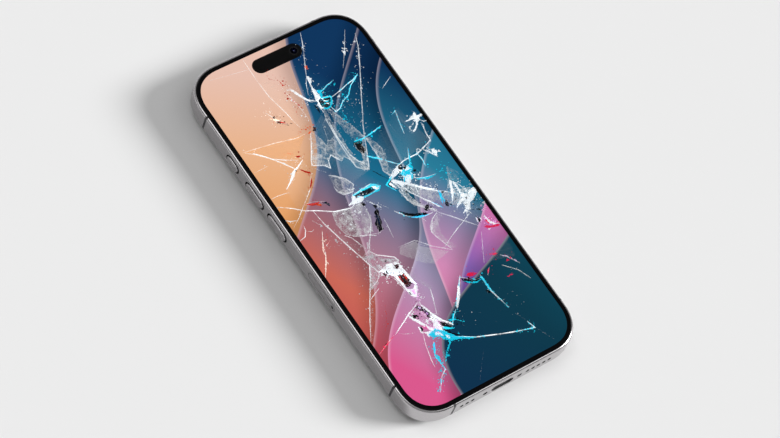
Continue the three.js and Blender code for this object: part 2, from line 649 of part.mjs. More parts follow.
const panelInset = WALL + 2 * FIT;
const pillHole = roundRect(0, PILL_Y, PILL_W, PILL_H, PILL_H / 2, 6);
place('display_panel', sheet(outline(panelInset), PANEL_LOW, GLASS_LOW, pillHole), screenPicture);
place('display_backplate',
  sheet(outline(panelInset), BACKPLATE_LOW, PANEL_LOW, pillHole), sheetSteel);

// Island: a black plate in the pill with a hole for each sensor.
const SENSORS = [
  ['front_camera', CAMERA_X, CAMERA_R],
  ['infrared_camera', INFRARED_X, INFRARED_R],
  ['dot_projector', PROJECTOR_X, PROJECTOR_R],
];
const islandOutline = roundRect(0, PILL_Y, PILL_W - 2 * FIT, PILL_H - 2 * FIT, PILL_H / 2, 6);
let island = solid(sheet(islandOutline, GLASS_LOW - ISLAND_T, GLASS_LOW));
for (const [, x, r] of SENSORS) {
  island = island.subtract(solid(post(x, PILL_Y, r + FIT, GLASS_LOW - 2, GLASS_LOW + 1)));
}
place('sensor_island', island, sealBlack);

// Each sensor is a block on the mid plate with a barrel that reaches up to the glass.
for (const [name, x, r] of SENSORS) {
  const bodyTop = BACKPLATE_LOW - FIT;
  const bodyW = Math.min(SENSOR_BODY, 2 * r + 1.2);
  place(name, join(
    block(x, PILL_Y, bodyW, SENSOR_BODY, MID_TOP + FIT, bodyTop),
    post(x, PILL_Y, r, bodyTop - 0.5, GLASS_LOW - FIT, 16),
  ), lensBlack);
}
place('earpiece_speaker', block(0, EARPIECE_Y, EARPIECE_W, EARPIECE.h,
  MID_TOP + FIT, MID_TOP + FIT + EARPIECE.t), plasticBlack);

// Buttons

// A cap that stands a little proud, with a wider flange that stops inside the wall.
for (const [name, key, side] of KEYS) {
  const wallFace = SIDE - WALL;
  place(name, join(
    barAlongX(side * (wallFace - FIT - FLANGE_T / 2), side * (SIDE + BUTTON_PROUD), keyY(key), Z_MID,
      key.length, BUTTON_H),
    barAlongX(side * (wallFace - FIT - FLANGE_T), side * (wallFace - FIT), keyY(key), Z_MID,
      key.length + 2 * FLANGE_RIM, BUTTON_H + FLANGE_RIM),
  ), bandMetal);
}

// A bracket behind the buttons of one side, with a dome switch for each of them.
function makeButtonFlex(keys, side) {
  const face = SIDE - WALL - FIT - FLANGE_T - BUTTON_TRAVEL - FIT / 2;
  const low = Math.min(...keys.map((key) => keyY(key) - key.length / 2));
  const high = Math.max(...keys.map((key) => keyY(key) + key.length / 2));
  const back = face - DOME_T;
  const bracket = block(side * (back - BRACKET_T / 2), (low + high) / 2, BRACKET_T, high - low,
    Z_MID - BRACKET_H / 2, Z_MID + BRACKET_H / 2);
  const domes = keys.map((key) => rodAlongX(side * (back - BRACKET_T / 2), side * face, keyY(key),
    Z_MID, DOME_R));
  return join(bracket, ...domes);
}
place('left_button_flex', makeButtonFlex([ACTION, VOLUME_UP, VOLUME_DOWN], -1), flexAmber);
place('right_button_flex', makeButtonFlex([SIDE_KEY], 1), flexAmber);

// Card tray

const plateIn = -SIDE + WALL - FIT;
const carrierX = plateIn + TRAY_DEPTH / 2;
const carrierW = TRAY_LENGTH - 2 * TRAY_RIM;
const pocketX = plateIn + TRAY_RIM + (CARD_D + 2 * SLIDE) / 2;
let tray = join(
  barAlongX(-SIDE, plateIn, TRAY_Y, Z_MID, TRAY_LENGTH, TRAY_H),
  block(carrierX - FIT, TRAY_Y, TRAY_DEPTH + 2 * FIT, carrierW, Z_MID - TRAY_T / 2, Z_MID + TRAY_T / 2),
);
const pocketFloor = Z_MID - TRAY_T / 2 + (TRAY_T - CARD_T) / 2;
tray = tray.subtract(solid(block(pocketX, TRAY_Y, CARD_D + 2 * SLIDE, CARD_W + 2 * SLIDE,
  pocketFloor, Z_MID + TRAY_T)));
tray = tray.subtract(solid(block(pocketX, TRAY_Y, CARD_D - 1.6, CARD_W - 1.6, Z_MID - TRAY_T, Z_MID)));
tray = tray.subtract(solid(rodAlongX(-SIDE - 1, plateIn + 0.9, TRAY_Y - TRAY_LENGTH / 2 + PIN_HOLE_IN,
  Z_MID, PIN_HOLE_R)));
place('sim_tray', tray, bandMetal);
place('sim_card', block(pocketX, TRAY_Y, CARD_D, CARD_W, pocketFloor + FIT / 2,
  pocketFloor + FIT / 2 + CARD_T - FIT), cardWhite);

// The reader is a flat sleeve around the tray, open towards the side of the phone.
const readerInner = TRAY_T + 2 * SLIDE;
const readerLow = Z_MID - readerInner / 2 - READER_WALL;
const readerLeft = -SIDE + WALL + FIT + FIT;
const readerDepth = TRAY_DEPTH + READER_WALL;
place('sim_reader', solid(block(readerLeft + readerDepth / 2, TRAY_Y, readerDepth,
  carrierW + 2 * SLIDE + 2 * READER_WALL, readerLow, readerLow + readerInner + 2 * READER_WALL,
)).subtract(solid(block(readerLeft + (readerDepth - READER_WALL) / 2 - 1, TRAY_Y,
  readerDepth - READER_WALL + 2, carrierW + 2 * SLIDE, Z_MID - readerInner / 2,
  Z_MID + readerInner / 2))), sheetSteel);

// Bottom edge

place('charge_port_shell', solid(barAlongY(PORT_MOUTH, PORT_BACK, 0, Z_MID, PORT_W, PORT_H, 6))
  .subtract(solid(barAlongY(PORT_MOUTH - 1, PORT_BACK - PORT_WALL, 0, Z_MID,
    PORT_W - 2 * PORT_WALL, PORT_H - 2 * PORT_WALL, 6))), sheetSteel);
const tongueFrom = PORT_MOUTH + TONGUE_SHORT;
const tongueTo = PORT_BACK - PORT_WALL - FIT;
place('charge_port_tongue', block(0, (tongueFrom + tongueTo) / 2, TONGUE_W, tongueTo - tongueFrom,
  Z_MID - TONGUE_T / 2, Z_MID + TONGUE_T / 2), plasticBlack);

place('microphone_mesh', meshBlock(MIC_ROW, 0), sheetSteel);
place('speaker_mesh', meshBlock(SPEAKER_ROW, 0), sheetSteel);
place('bottom_microphone', block(MIC_ROW.x, BEHIND_MESH + MICROPHONE.h / 2, MICROPHONE.w,
  MICROPHONE.h, Z_MID - MICROPHONE.t / 2, Z_MID + MICROPHONE.t / 2), plasticBlack);

// The loudspeaker's box follows the round corner of the band, a small gap inside it.
const speakerBox = [MID_TOP + FIT, MID_TOP + FIT + LOUDSPEAKER.t];
const speakerW = INNER - LOUDSPEAKER.left;
place('loudspeaker', solid(block(LOUDSPEAKER.left + speakerW / 2, BEHIND_MESH + LOUDSPEAKER.h / 2,
  speakerW, LOUDSPEAKER.h, ...speakerBox))
  .intersect(solid(sheet(outline(WALL + LOUDSPEAKER.wallGap), ...speakerBox)))
  .add(solid(block(SPEAKER_ROW.x, BEHIND_MESH + 1, HOLE_PITCH * SPEAKER_HOLES.count, 2,
    ...speakerBox))), plasticBlack);

for (const [name, x] of [['bottom_screw_left', -SCREW_X], ['bottom_screw_right', SCREW_X]]) {
  const head = -END + SCREW_SUNK;
  place(name, join(
    rodAlongY(head, head + SCREW_HEAD_T, x, Z_MID, SCREW_HEAD_R, 16),
    rodAlongY(head + SCREW_HEAD_T / 2, head + SCREW_LENGTH, x, Z_MID, SCREW_SHANK_R),
  ), sheetSteel);
}

// Back and rear cameras

const lensYs = [PLATEAU_Y + LENS_PITCH / 2, PLATEAU_Y - LENS_PITCH / 2];
const plateauH = LENS_PITCH + PLATEAU.w;
const flashX = PLATEAU_X - PLATEAU.w / 2 - FLASH.gap - FLASH.r;
const plateauHole = roundRect(PLATEAU_X, PLATEAU_Y, PLATEAU.w, plateauH, PLATEAU.w / 2, 8);
const backSheet = solid(sheet(outline(GLASS_INSET), Z_BACK, BACK_GLASS_TOP, plateauHole));
place('back_glass', backSheet.subtract(
  solid(post(flashX, PLATEAU_Y, FLASH.r + FIT, Z_BACK - 1, BACK_GLASS_TOP + 1)),
), backColour);

let plateau = solid(sheet(
  roundRect(PLATEAU_X, PLATEAU_Y, PLATEAU.w - 2 * FIT, plateauH - 2 * FIT, PLATEAU.w / 2, 8),
  PLATEAU_LOW, BACK_GLASS_TOP,
));
for (const y of lensYs) {
  plateau = plateau.subtract(
    solid(post(PLATEAU_X, y, RING_R + FIT, PLATEAU_LOW - 1, BACK_GLASS_TOP + 1, 28)),
  );
}
place('camera_plateau', plateau, backColour);

const LENS_NAMES = ['upper', 'lower'];
lensYs.forEach((y, i) => {
  const barrelLow = LENS_LOW + LENS_COVER_SUNK + LENS_COVER_T + FIT;
  place(`rear_lens_ring_${LENS_NAMES[i]}`,
    ring(PLATEAU_X, y, RING_R - RING_WALL, RING_R, LENS_LOW, BACK_GLASS_TOP), bandMetal);
  place(`rear_lens_cover_${LENS_NAMES[i]}`,
    post(PLATEAU_X, y, RING_R - RING_WALL - FIT, LENS_LOW + LENS_COVER_SUNK,
      LENS_LOW + LENS_COVER_SUNK + LENS_COVER_T, 24), lensBlack);
  place(`rear_camera_${LENS_NAMES[i]}`, join(
    post(PLATEAU_X, y, REAR_BARREL_R, barrelLow, MID_TOP + 0.5, 20),
    block(PLATEAU_X, y, REAR_BODY, REAR_BODY, MID_TOP + FIT, BACKPLATE_LOW - FIT),
  ), plasticBlack);
});
place('flash_window', post(flashX, PLATEAU_Y, FLASH.r, Z_BACK - FLASH.proud, BACK_GLASS_TOP, 20),
  cardWhite);

const cameraOpening = roundRect(PLATEAU_X, PLATEAU_Y, 2 * REAR_BARREL_R + 4 * FIT,
  LENS_PITCH + 2 * REAR_BARREL_R + 4 * FIT, REAR_BARREL_R + 2 * FIT, 6);
place('mid_plate', sheet(outline(WALL + FIT), MID_LOW, MID_TOP, cameraOpening), sheetSteel);
place('charging_coil', ring(COIL.x, COIL.y, COIL.inner, COIL.outer,
  BACK_GLASS_TOP + FIT, BACK_GLASS_TOP + FIT + COIL_T, 36), copper);

// Inside

const batteryLeft = BOARD_RIGHT + PACKING;
const batteryRight = INNER - PACKING;
const batteryBottom = FLEX_TURN + PORT_FLEX.arm + PACKING;
const batteryTop = ARM_BOTTOM - PACKING;
const batteryX = (batteryLeft + batteryRight) / 2;
const batteryY = (batteryBottom + batteryTop) / 2;
const batteryW = batteryRight - batteryLeft;
const batteryH = batteryTop - batteryBottom;
for (const [name, side] of [['battery_adhesive_left', -1], ['battery_adhesive_right', 1]]) {
  place(name, block(batteryX + side * (batteryW / 2 - ADHESIVE.in), batteryY, ADHESIVE.w,
    batteryH - 2 * ADHESIVE.short, MID_TOP, MID_TOP + ADHESIVE.t), adhesiveWhite);
}
const batteryLow = MID_TOP + ADHESIVE.t;
place('battery', sheet(
  roundRect(batteryX, batteryY, batteryW, batteryH, BATTERY.corner),
  batteryLow, batteryLow + BATTERY.t,
), pouchBlack);

place('logic_board', sheet([
  [BOARD_LEFT, BOARD_BOTTOM], [BOARD_RIGHT, BOARD_BOTTOM], [BOARD_RIGHT, ARM_BOTTOM],
  [ARM_RIGHT, ARM_BOTTOM], [ARM_RIGHT, BOARD_HEAD], [BOARD_LEFT, BOARD_HEAD],
].map(([x, y]) => new THREE.Vector2(x, y)), BOARD_LOW, BOARD_TOP), boardGreen);

// A shield between four edges, drawn in by its margin.
function shield(left, right, bottom, top) {
  const m = SHIELD_MARGIN;
  return block((left + right) / 2, (bottom + top) / 2, right - left - 2 * m, top - bottom - 2 * m,
    BOARD_TOP, BOARD_TOP + SHIELD_T);
}
const readerEnd = TRAY_Y - carrierW / 2 - SLIDE - READER_WALL;
place('board_shield_upper', shield(BOARD_LEFT, ARM_RIGHT, ARM_BOTTOM, BOARD_HEAD), sheetSteel);
place('board_shield_lower', shield(BOARD_LEFT, BOARD_RIGHT, BOARD_BOTTOM,
  readerEnd - SHIELD_READER_GAP + SHIELD_MARGIN), sheetSteel);

const boardX = (BOARD_LEFT + BOARD_RIGHT) / 2;
const cowlingY = TRAY_Y + COWLING.aboveTray;
place('connector_cowling', block(boardX, cowlingY, COWLING.w, COWLING.h, BOARD_TOP,
  BOARD_TOP + COWLING.t), sheetSteel);
for (const [name, side] of [['cowling_screw_left', -1], ['cowling_screw_right', 1]]) {
  place(name, post(boardX + side * (COWLING.w / 2 - COWLING_SCREW_IN), cowlingY, COWLING_SCREW_R,
    BOARD_TOP + COWLING.t, BOARD_TOP + COWLING.t + COWLING_SCREW_T, 12), sheetSteel);
}

// Ribbon of the display: it leaves the backplate, folds down at its right and ends on the board.
const flexTop = BACKPLATE_LOW - FIT;
const flexLow = BOARD_TOP + FIT;
const displayFlexY = cowlingY + COWLING.h / 2 + DISPLAY_FLEX.gap + DISPLAY_FLEX.h / 2;
const ribbon = [
  [-0.5, flexTop], [-0.5, flexTop - DISPLAY_FLEX.t], [0.5, flexTop - DISPLAY_FLEX.t, -1],
  [0.5, flexLow + DISPLAY_FLEX.t, -1], [-0.5, flexLow + DISPLAY_FLEX.t], [-0.5, flexLow],
  [0.5, flexLow], [0.5, flexTop],
].map(([share, z, inward = 0]) => new THREE.Vector2(
  boardX + share * DISPLAY_FLEX.w + inward * DISPLAY_FLEX.t, z,
));
place('display_flex', new THREE.ExtrudeGeometry(new THREE.Shape(ribbon),
  { depth: DISPLAY_FLEX.h, bevelEnabled: false })
  .rotateX(Math.PI / 2)
  .translate(0, displayFlexY + DISPLAY_FLEX.h / 2, 0), flexAmber);

// Ribbon of the charge port: from behind the port it turns left and ends short of the board.
const half = PORT_FLEX.w / 2;
const armTop = FLEX_TURN + PORT_FLEX.arm;
const ribbonEnd = BOARD_BOTTOM - PORT_FLEX.boardGap;
place('charge_port_flex', sheet([
  [-half, PORT_BACK + FIT], [half, PORT_BACK + FIT], [half, armTop], [boardX + half, armTop],
  [boardX + half, ribbonEnd], [boardX - half, ribbonEnd], [boardX - half, FLEX_TURN], [-half, FLEX_TURN],
].map(([x, y]) => new THREE.Vector2(x, y)), MID_TOP, MID_TOP + PORT_FLEX.t), flexAmber);

const hapticLeft = -INNER + HAPTIC.wallGap;
const hapticRight = -half - HAPTIC.flexGap;
place('haptic_motor', block((hapticLeft + hapticRight) / 2, HAPTIC_LOW + HAPTIC.h / 2,
  hapticRight - hapticLeft, HAPTIC.h, MID_TOP + FIT, MID_TOP + FIT + HAPTIC.t), sheetSteel);

export default phone;
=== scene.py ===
"""Looks of a shattered smartphone: band, keys, display, broken glass, back and stage.

The frame is in metres. X runs to the right and Y to the top of the phone, seen from the front, and Z is up.
Sizes typed in this file are millimetres. The settings hold metres, as the frame does.
"""

from math import pi, radians

import bmesh
import bpy
import numpy as np
from mathutils import Matrix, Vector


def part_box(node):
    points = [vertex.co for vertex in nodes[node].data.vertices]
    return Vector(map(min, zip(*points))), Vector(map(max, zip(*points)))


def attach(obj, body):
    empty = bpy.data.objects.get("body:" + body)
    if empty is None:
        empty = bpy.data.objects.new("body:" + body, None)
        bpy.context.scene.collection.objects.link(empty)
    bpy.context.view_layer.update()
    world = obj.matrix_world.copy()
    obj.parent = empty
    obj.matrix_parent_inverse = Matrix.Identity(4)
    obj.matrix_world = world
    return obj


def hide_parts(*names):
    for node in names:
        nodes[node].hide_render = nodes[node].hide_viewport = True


bl_info = {
    "name": "Shattered screen phone",
    "version": (1, 0, 0),
    "blender": (4, 5, 0),
    "location": "3D View > Sidebar > Phone",
    "description": "Builds the finishes and the broken glass of a flat-sided smartphone",
    "category": "Object",
}

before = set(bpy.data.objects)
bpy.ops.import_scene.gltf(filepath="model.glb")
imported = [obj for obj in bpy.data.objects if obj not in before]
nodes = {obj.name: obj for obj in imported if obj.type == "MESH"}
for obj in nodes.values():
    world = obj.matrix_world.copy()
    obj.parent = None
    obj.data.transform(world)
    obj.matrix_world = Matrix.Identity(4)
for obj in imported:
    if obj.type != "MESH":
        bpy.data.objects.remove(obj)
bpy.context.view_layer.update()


# Sizes and colours


def mm(value):
    """Millimetres to metres."""
    return value * 0.001


def in_mm(value):
    """Metres to millimetres."""
    return value * 1000


def box_mm(node):
    """The lowest and the highest corner of a CAD node, in millimetres."""
    return in_mm(np.array(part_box(node)))


BAND_LOW, BAND_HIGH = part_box("side_frame")
GLASS_LOW, GLASS_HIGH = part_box("cover_glass")


class PhoneSizes(bpy.types.PropertyGroup):
    """Sizes that the dressed pieces share with the solids."""

    width: bpy.props.FloatProperty(
        name="Width", description="Width of the body",
        default=BAND_HIGH[0] - BAND_LOW[0], unit="LENGTH")
    height: bpy.props.FloatProperty(
        name="Height", description="Height of the body",
        default=BAND_HIGH[1] - BAND_LOW[1], unit="LENGTH")
    corner: bpy.props.FloatProperty(
        name="Corner", description="How far the corner curve runs along each side",
        default=mm(13.8), unit="LENGTH")
    edge: bpy.props.FloatProperty(
        name="Edge rounding", description="Radius of the long edges of the band",
        default=mm(1.2), unit="LENGTH")
    lip: bpy.props.FloatProperty(
        name="Lip", description="Width of the band's lip around the glass", default=mm(0.7), unit="LENGTH")
    wall: bpy.props.FloatProperty(
        name="Wall", description="Thickness of the band", default=mm(2.0), unit="LENGTH")
    border: bpy.props.FloatProperty(
        name="Border", description="Black border between the edge of the glass and the picture",
        default=mm(1.5), unit="LENGTH")
    cracks: bpy.props.FloatProperty(
        name="Crack width", description="Widens all the drawn cracks, 1 is as listed", default=1.3,
        subtype="FACTOR")


class PhoneColours(bpy.types.PropertyGroup):
    """Colours of the finishes, as sRGB values."""

    metal: bpy.props.StringProperty(
        name="Band", description="Titanium of the band, sRGB hex", default="C3C0C2")
    strip: bpy.props.StringProperty(
        name="Antenna strips", description="Plastic inlays of the band, sRGB hex", default="3C3A3D")
    back: bpy.props.StringProperty(
        name="Back glass", description="Frosted glass of the back, sRGB hex", default="8D898A")
    border: bpy.props.StringProperty(
        name="Border", description="Black print around the picture, sRGB hex", default="0B0B0C")


class StageSettings(bpy.types.PropertyGroup):
    """Floor, light and camera."""

    floor: bpy.props.StringProperty(
        name="Floor", description="Colour of the floor, sRGB hex", default="E9E9E9")
    sun: bpy.props.FloatProperty(
        name="Key light", description="Strength of the soft key light", default=3.8)
    sky: bpy.props.FloatProperty(
        name="Studio", description="Brightness of the white studio around the stage", default=0.375)
    lens: bpy.props.FloatProperty(
        name="Lens", description="Focal length of the camera in millimetres", default=148.72)


def sizes():
    """The scene's sizes."""
    return bpy.context.scene.phone_sizes


def colours():
    """The scene's colours."""
    return bpy.context.scene.phone_colours


def glass_inset():
    """How far the edge of the glass lies inside the side of the body, in metres."""
    return (sizes().width - (GLASS_HIGH[0] - GLASS_LOW[0])) / 2


# Colours and nodes


def linear(hex_colour):
    """An sRGB hex colour as linear RGBA."""
    srgb = np.array([int(hex_colour[i:i + 2], 16) / 255 for i in (0, 2, 4)])
    value = np.where(srgb <= 0.04045, srgb / 12.92, ((srgb + 0.055) / 1.055) ** 2.4)
    return (*value.tolist(), 1.0)


def add(tree, kind, inputs=None, **settings):
    """Adds a node with its settings, and fills its inputs with values or links."""
    node = tree.nodes.new(kind)
    for name, value in settings.items():
        setattr(node, name, value)
    for socket, value in (inputs or {}).items():
        if isinstance(value, bpy.types.NodeSocket):
            tree.links.new(value, node.inputs[socket])
        else:
            node.inputs[socket].default_value = value
    return node


def new_material(name):
    """An empty material and its node tree."""
    material = bpy.data.materials.new(name)
    material.use_nodes = True
    material.node_tree.nodes.clear()
    return material, material.node_tree


def fill_ramp(ramp_node, stops):
    """Sets a colour ramp's stops from pairs of place and sRGB hex colour."""
    elements = ramp_node.color_ramp.elements
    while len(elements) > 1:
        elements.remove(elements[-1])
    elements[0].position = stops[0][0]
    elements[0].color = linear(stops[0][1])
    for place, colour in stops[1:]:
        elements.new(place).color = linear(colour)


def dress(node, material):
    """Gives a CAD node this material in every slot."""
    item = nodes[node]
    if not item.material_slots:
        item.data.materials.append(material)
    for slot in item.material_slots:
        slot.material = material


# Meshes


def new_piece(name, points, faces, material, body):
    """A mesh object from an array of points in millimetres and a list of faces, riding on a body."""
    mesh = bpy.data.meshes.new(name)
    mesh.from_pydata(mm(np.asarray(points)).tolist(), [], [tuple(face) for face in faces])
    mesh.update()
    piece = bpy.data.objects.new(name, mesh)
    bpy.context.scene.collection.objects.link(piece)
    if material:
        mesh.materials.append(material)
    if body:
        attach(piece, body)
    return piece


def grid_faces(rows, columns, wrap_rows=False, wrap_columns=False):
    """Quads between neighbouring points of a grid, which may close on itself either way."""
    i = np.arange(rows if wrap_rows else rows - 1)[:, None]
    j = np.arange(columns if wrap_columns else columns - 1)[None, :]
    next_i = (i + 1) % rows
    next_j = (j + 1) % columns
    corners = [i * columns + j, i * columns + next_j, next_i * columns + next_j, next_i * columns + j]
    return np.stack([np.broadcast_to(c, (i.size, j.size)) for c in corners], -1).reshape(-1, 4)


def smooth(piece, angle):
    """Smooth shading, with edges sharper than the angle kept sharp and flat faces kept flat."""
    piece.data.shade_smooth()
    piece.data.set_sharp_from_angle(angle=radians(angle))
    weighted = piece.modifiers.new("flat faces stay flat", "WEIGHTED_NORMAL")
    weighted.keep_sharp = True


CORNER_POWER = 2.3  # of the superellipse that the corners follow, where 2 is a circle
CORNER_STEPS = 28
OUTLINE_POINTS = 4 * (CORNER_STEPS + 1)


def body_outline(inset):
    """Outline of the body drawn in by inset, in mm: straight sides and corners on a superellipse,
    x = cos(t) and y = sin(t), both to the power 2 / CORNER_POWER."""
    s = sizes()
    half = in_mm(np.array([s.width, s.height])) / 2 - inset
    reach = max(in_mm(s.corner) - inset, 0.5)
    t = np.linspace(0, pi / 2, CORNER_STEPS + 1)
    arc = np.stack([np.cos(t), np.sin(t)], -1) ** (2 / CORNER_POWER)
    corner = half - reach + reach * arc
    quarters = [corner, corner[::-1] * [-1, 1], corner * [-1, -1], corner[::-1] * [1, -1]]
    return np.concatenate(quarters)


def capsule_outline(length, height, steps=14):
    """Outline of a capsule around the middle, long along its first axis: two half circles."""
    r = height / 2
    t = np.linspace(-pi / 2, pi / 2, steps + 1)
    end = np.stack([length / 2 - r + r * np.cos(t), r * np.sin(t)], -1)
    return np.concatenate([end, -end])


def tube_faces(rows, columns):
    """Faces of a grid whose rows are closed rings, with one face over each end."""
    first = np.arange(columns)[::-1].tolist()
    last = (np.arange(columns) + (rows - 1) * columns).tolist()
    return grid_faces(rows, columns, wrap_columns=True).tolist() + [first, last]


# Metal, plastic and printed finishes

BRUSH_GAP = 0.2  # from one brush line to the next
BRUSH_LENGTH = 16.67
POLISH_CLOUD = 6.25  # slow changes of the metal's polish
COLOUR_CLOUD = 11.11  # slow changes of a moulded colour


def per_metre(size):
    """Scale of a pattern on Object coordinates, for marks that are this many millimetres."""
    return 1000 / size


def brushed_titanium(name="brushed titanium", colour=None, roughness=0.22):
    """Titanium alloy, bead blasted and then brushed along the band. The eye gets a grey metal with soft,
    slightly streaked reflections. The brush lines are 0.05 mm apart on the real one and drawn 0.2 mm."""
    material, tree = new_material(name)
    place = add(tree, "ShaderNodeTexCoord").outputs["Object"]
    brush = (per_metre(BRUSH_LENGTH), per_metre(BRUSH_LENGTH), per_metre(BRUSH_GAP))
    lines = add(tree, "ShaderNodeMapping", {"Vector": place, "Scale": brush}).outputs[0]
    grain = add(tree, "ShaderNodeTexNoise", {"Vector": lines, "Scale": 1.0, "Detail": 3.0})
    cloud = add(tree, "ShaderNodeTexNoise", {"Vector": place, "Scale": per_metre(POLISH_CLOUD),
                                             "Detail": 4.0})
    shade = add(tree, "ShaderNodeValToRGB", {"Fac": grain.outputs["Fac"]})
    base = colour or colours().metal
    fill_ramp(shade, [(0.25, base), (0.75, tinted(base, 0.94))])
    rough = add(tree, "ShaderNodeMapRange", {
        "Value": cloud.outputs["Fac"], "From Min": 0.3, "From Max": 0.7,
        "To Min": roughness - 0.02, "To Max": roughness + 0.03})
    bump = add(tree, "ShaderNodeBump", {"Height": grain.outputs["Fac"], "Strength": 0.12,
                                        "Distance": mm(0.02)})
    shader = add(tree, "ShaderNodeBsdfPrincipled", {
        "Base Color": shade.outputs[0], "Metallic": 1.0, "Roughness": rough.outputs[0],
        "Normal": bump.outputs[0]})
    add(tree, "ShaderNodeOutputMaterial", {"Surface": shader.outputs[0]})
    return material


def tinted(hex_colour, factor):
    """An sRGB hex colour made darker or lighter by a factor."""
    parts = [min(255, round(int(hex_colour[i:i + 2], 16) * factor)) for i in (0, 2, 4)]
    return "".join(f"{part:02X}" for part in parts)


def moulded(name, colour, roughness, grit=0.15, coat=0.0, metallic=0.0, depth=0.01, uneven=0.06):
    """A moulded, printed or rolled surface. The eye gets one even colour that varies by the share uneven,
    over a fine grain. The grain's grit and depth are in millimetres."""
    material, tree = new_material(name)
    place = add(tree, "ShaderNodeTexCoord").outputs["Object"]
    grain = add(tree, "ShaderNodeTexNoise", {"Vector": place, "Scale": per_metre(grit), "Detail": 2.0})
    cloud = add(tree, "ShaderNodeTexNoise", {"Vector": place, "Scale": per_metre(COLOUR_CLOUD),
                                             "Detail": 3.0})
    shade = add(tree, "ShaderNodeValToRGB", {"Fac": cloud.outputs["Fac"]})
    fill_ramp(shade, [(0.3, tinted(colour, 1 - uneven)), (0.7, tinted(colour, 1 + uneven))])
    bump = add(tree, "ShaderNodeBump", {"Height": grain.outputs["Fac"], "Strength": 0.2,
                                        "Distance": mm(depth)})
    shader = add(tree, "ShaderNodeBsdfPrincipled", {
        "Base Color": shade.outputs[0], "Roughness": roughness, "Metallic": metallic,
        "Coat Weight": coat, "Coat Roughness": 0.05, "Normal": bump.outputs[0]})
    add(tree, "ShaderNodeOutputMaterial", {"Surface": shader.outputs[0]})
    return material


# The picture on the screen

# A pattern of its own: silky waves that lie over each other along a diagonal. Each wave has the place of
# its edge across the diagonal, height and length of its swing, all in mm, its start in turns, and the
# colours along it from the lower left to the upper right.
WAVES = [
    # place, swing, length, start, colours
    (-27.0, 5.0, 96, 0.05, ["C24A50", "CE6A5A", "1F6A8E", "113760"]),
    (-10.0, 6.0, 128, 0.55, ["C8505E", "B07C90", "1E7092", "0D2C50"]),
    (6.0, 6.5, 104, 0.30, ["DE5A90", "A69CBE", "287A98", "10345A"]),
    (19.0, 6.0, 118, 0.72, ["F07FA8", "D58CB8", "2B7F9C", "14466E"]),
    (31.0, 6.0, 100, 0.10, ["6E4A9C", "8A64B4", "F27CA8", "F9A9C2"]),
    (33.0, 15.0, 120, 0.18, ["113450", "103C4E", "12566A", "14586C"]),
]


WAVES_TURN = 32  # degrees from the phone's sides to the diagonal that the waves run along
PICTURE_REACH = 80.0  # from the middle to both ends of the colours along the diagonal
SHADOW_REACH, SHADOW_STRENGTH = 8.0, 0.34  # of the shadow that a wave's edge throws
RIM_REACH, RIM_STRENGTH = 1.3, 0.2  # of the light rim along the edge
WAVE_DRIFT = 0.004  # share of the colours that a millimetre away from the edge lies further along
GROUND = [(0.3, "D9825C"), (0.45, "E9A468"), (0.6, "EDB68C"), (0.8, "EBC4B4")]  # under all the waves


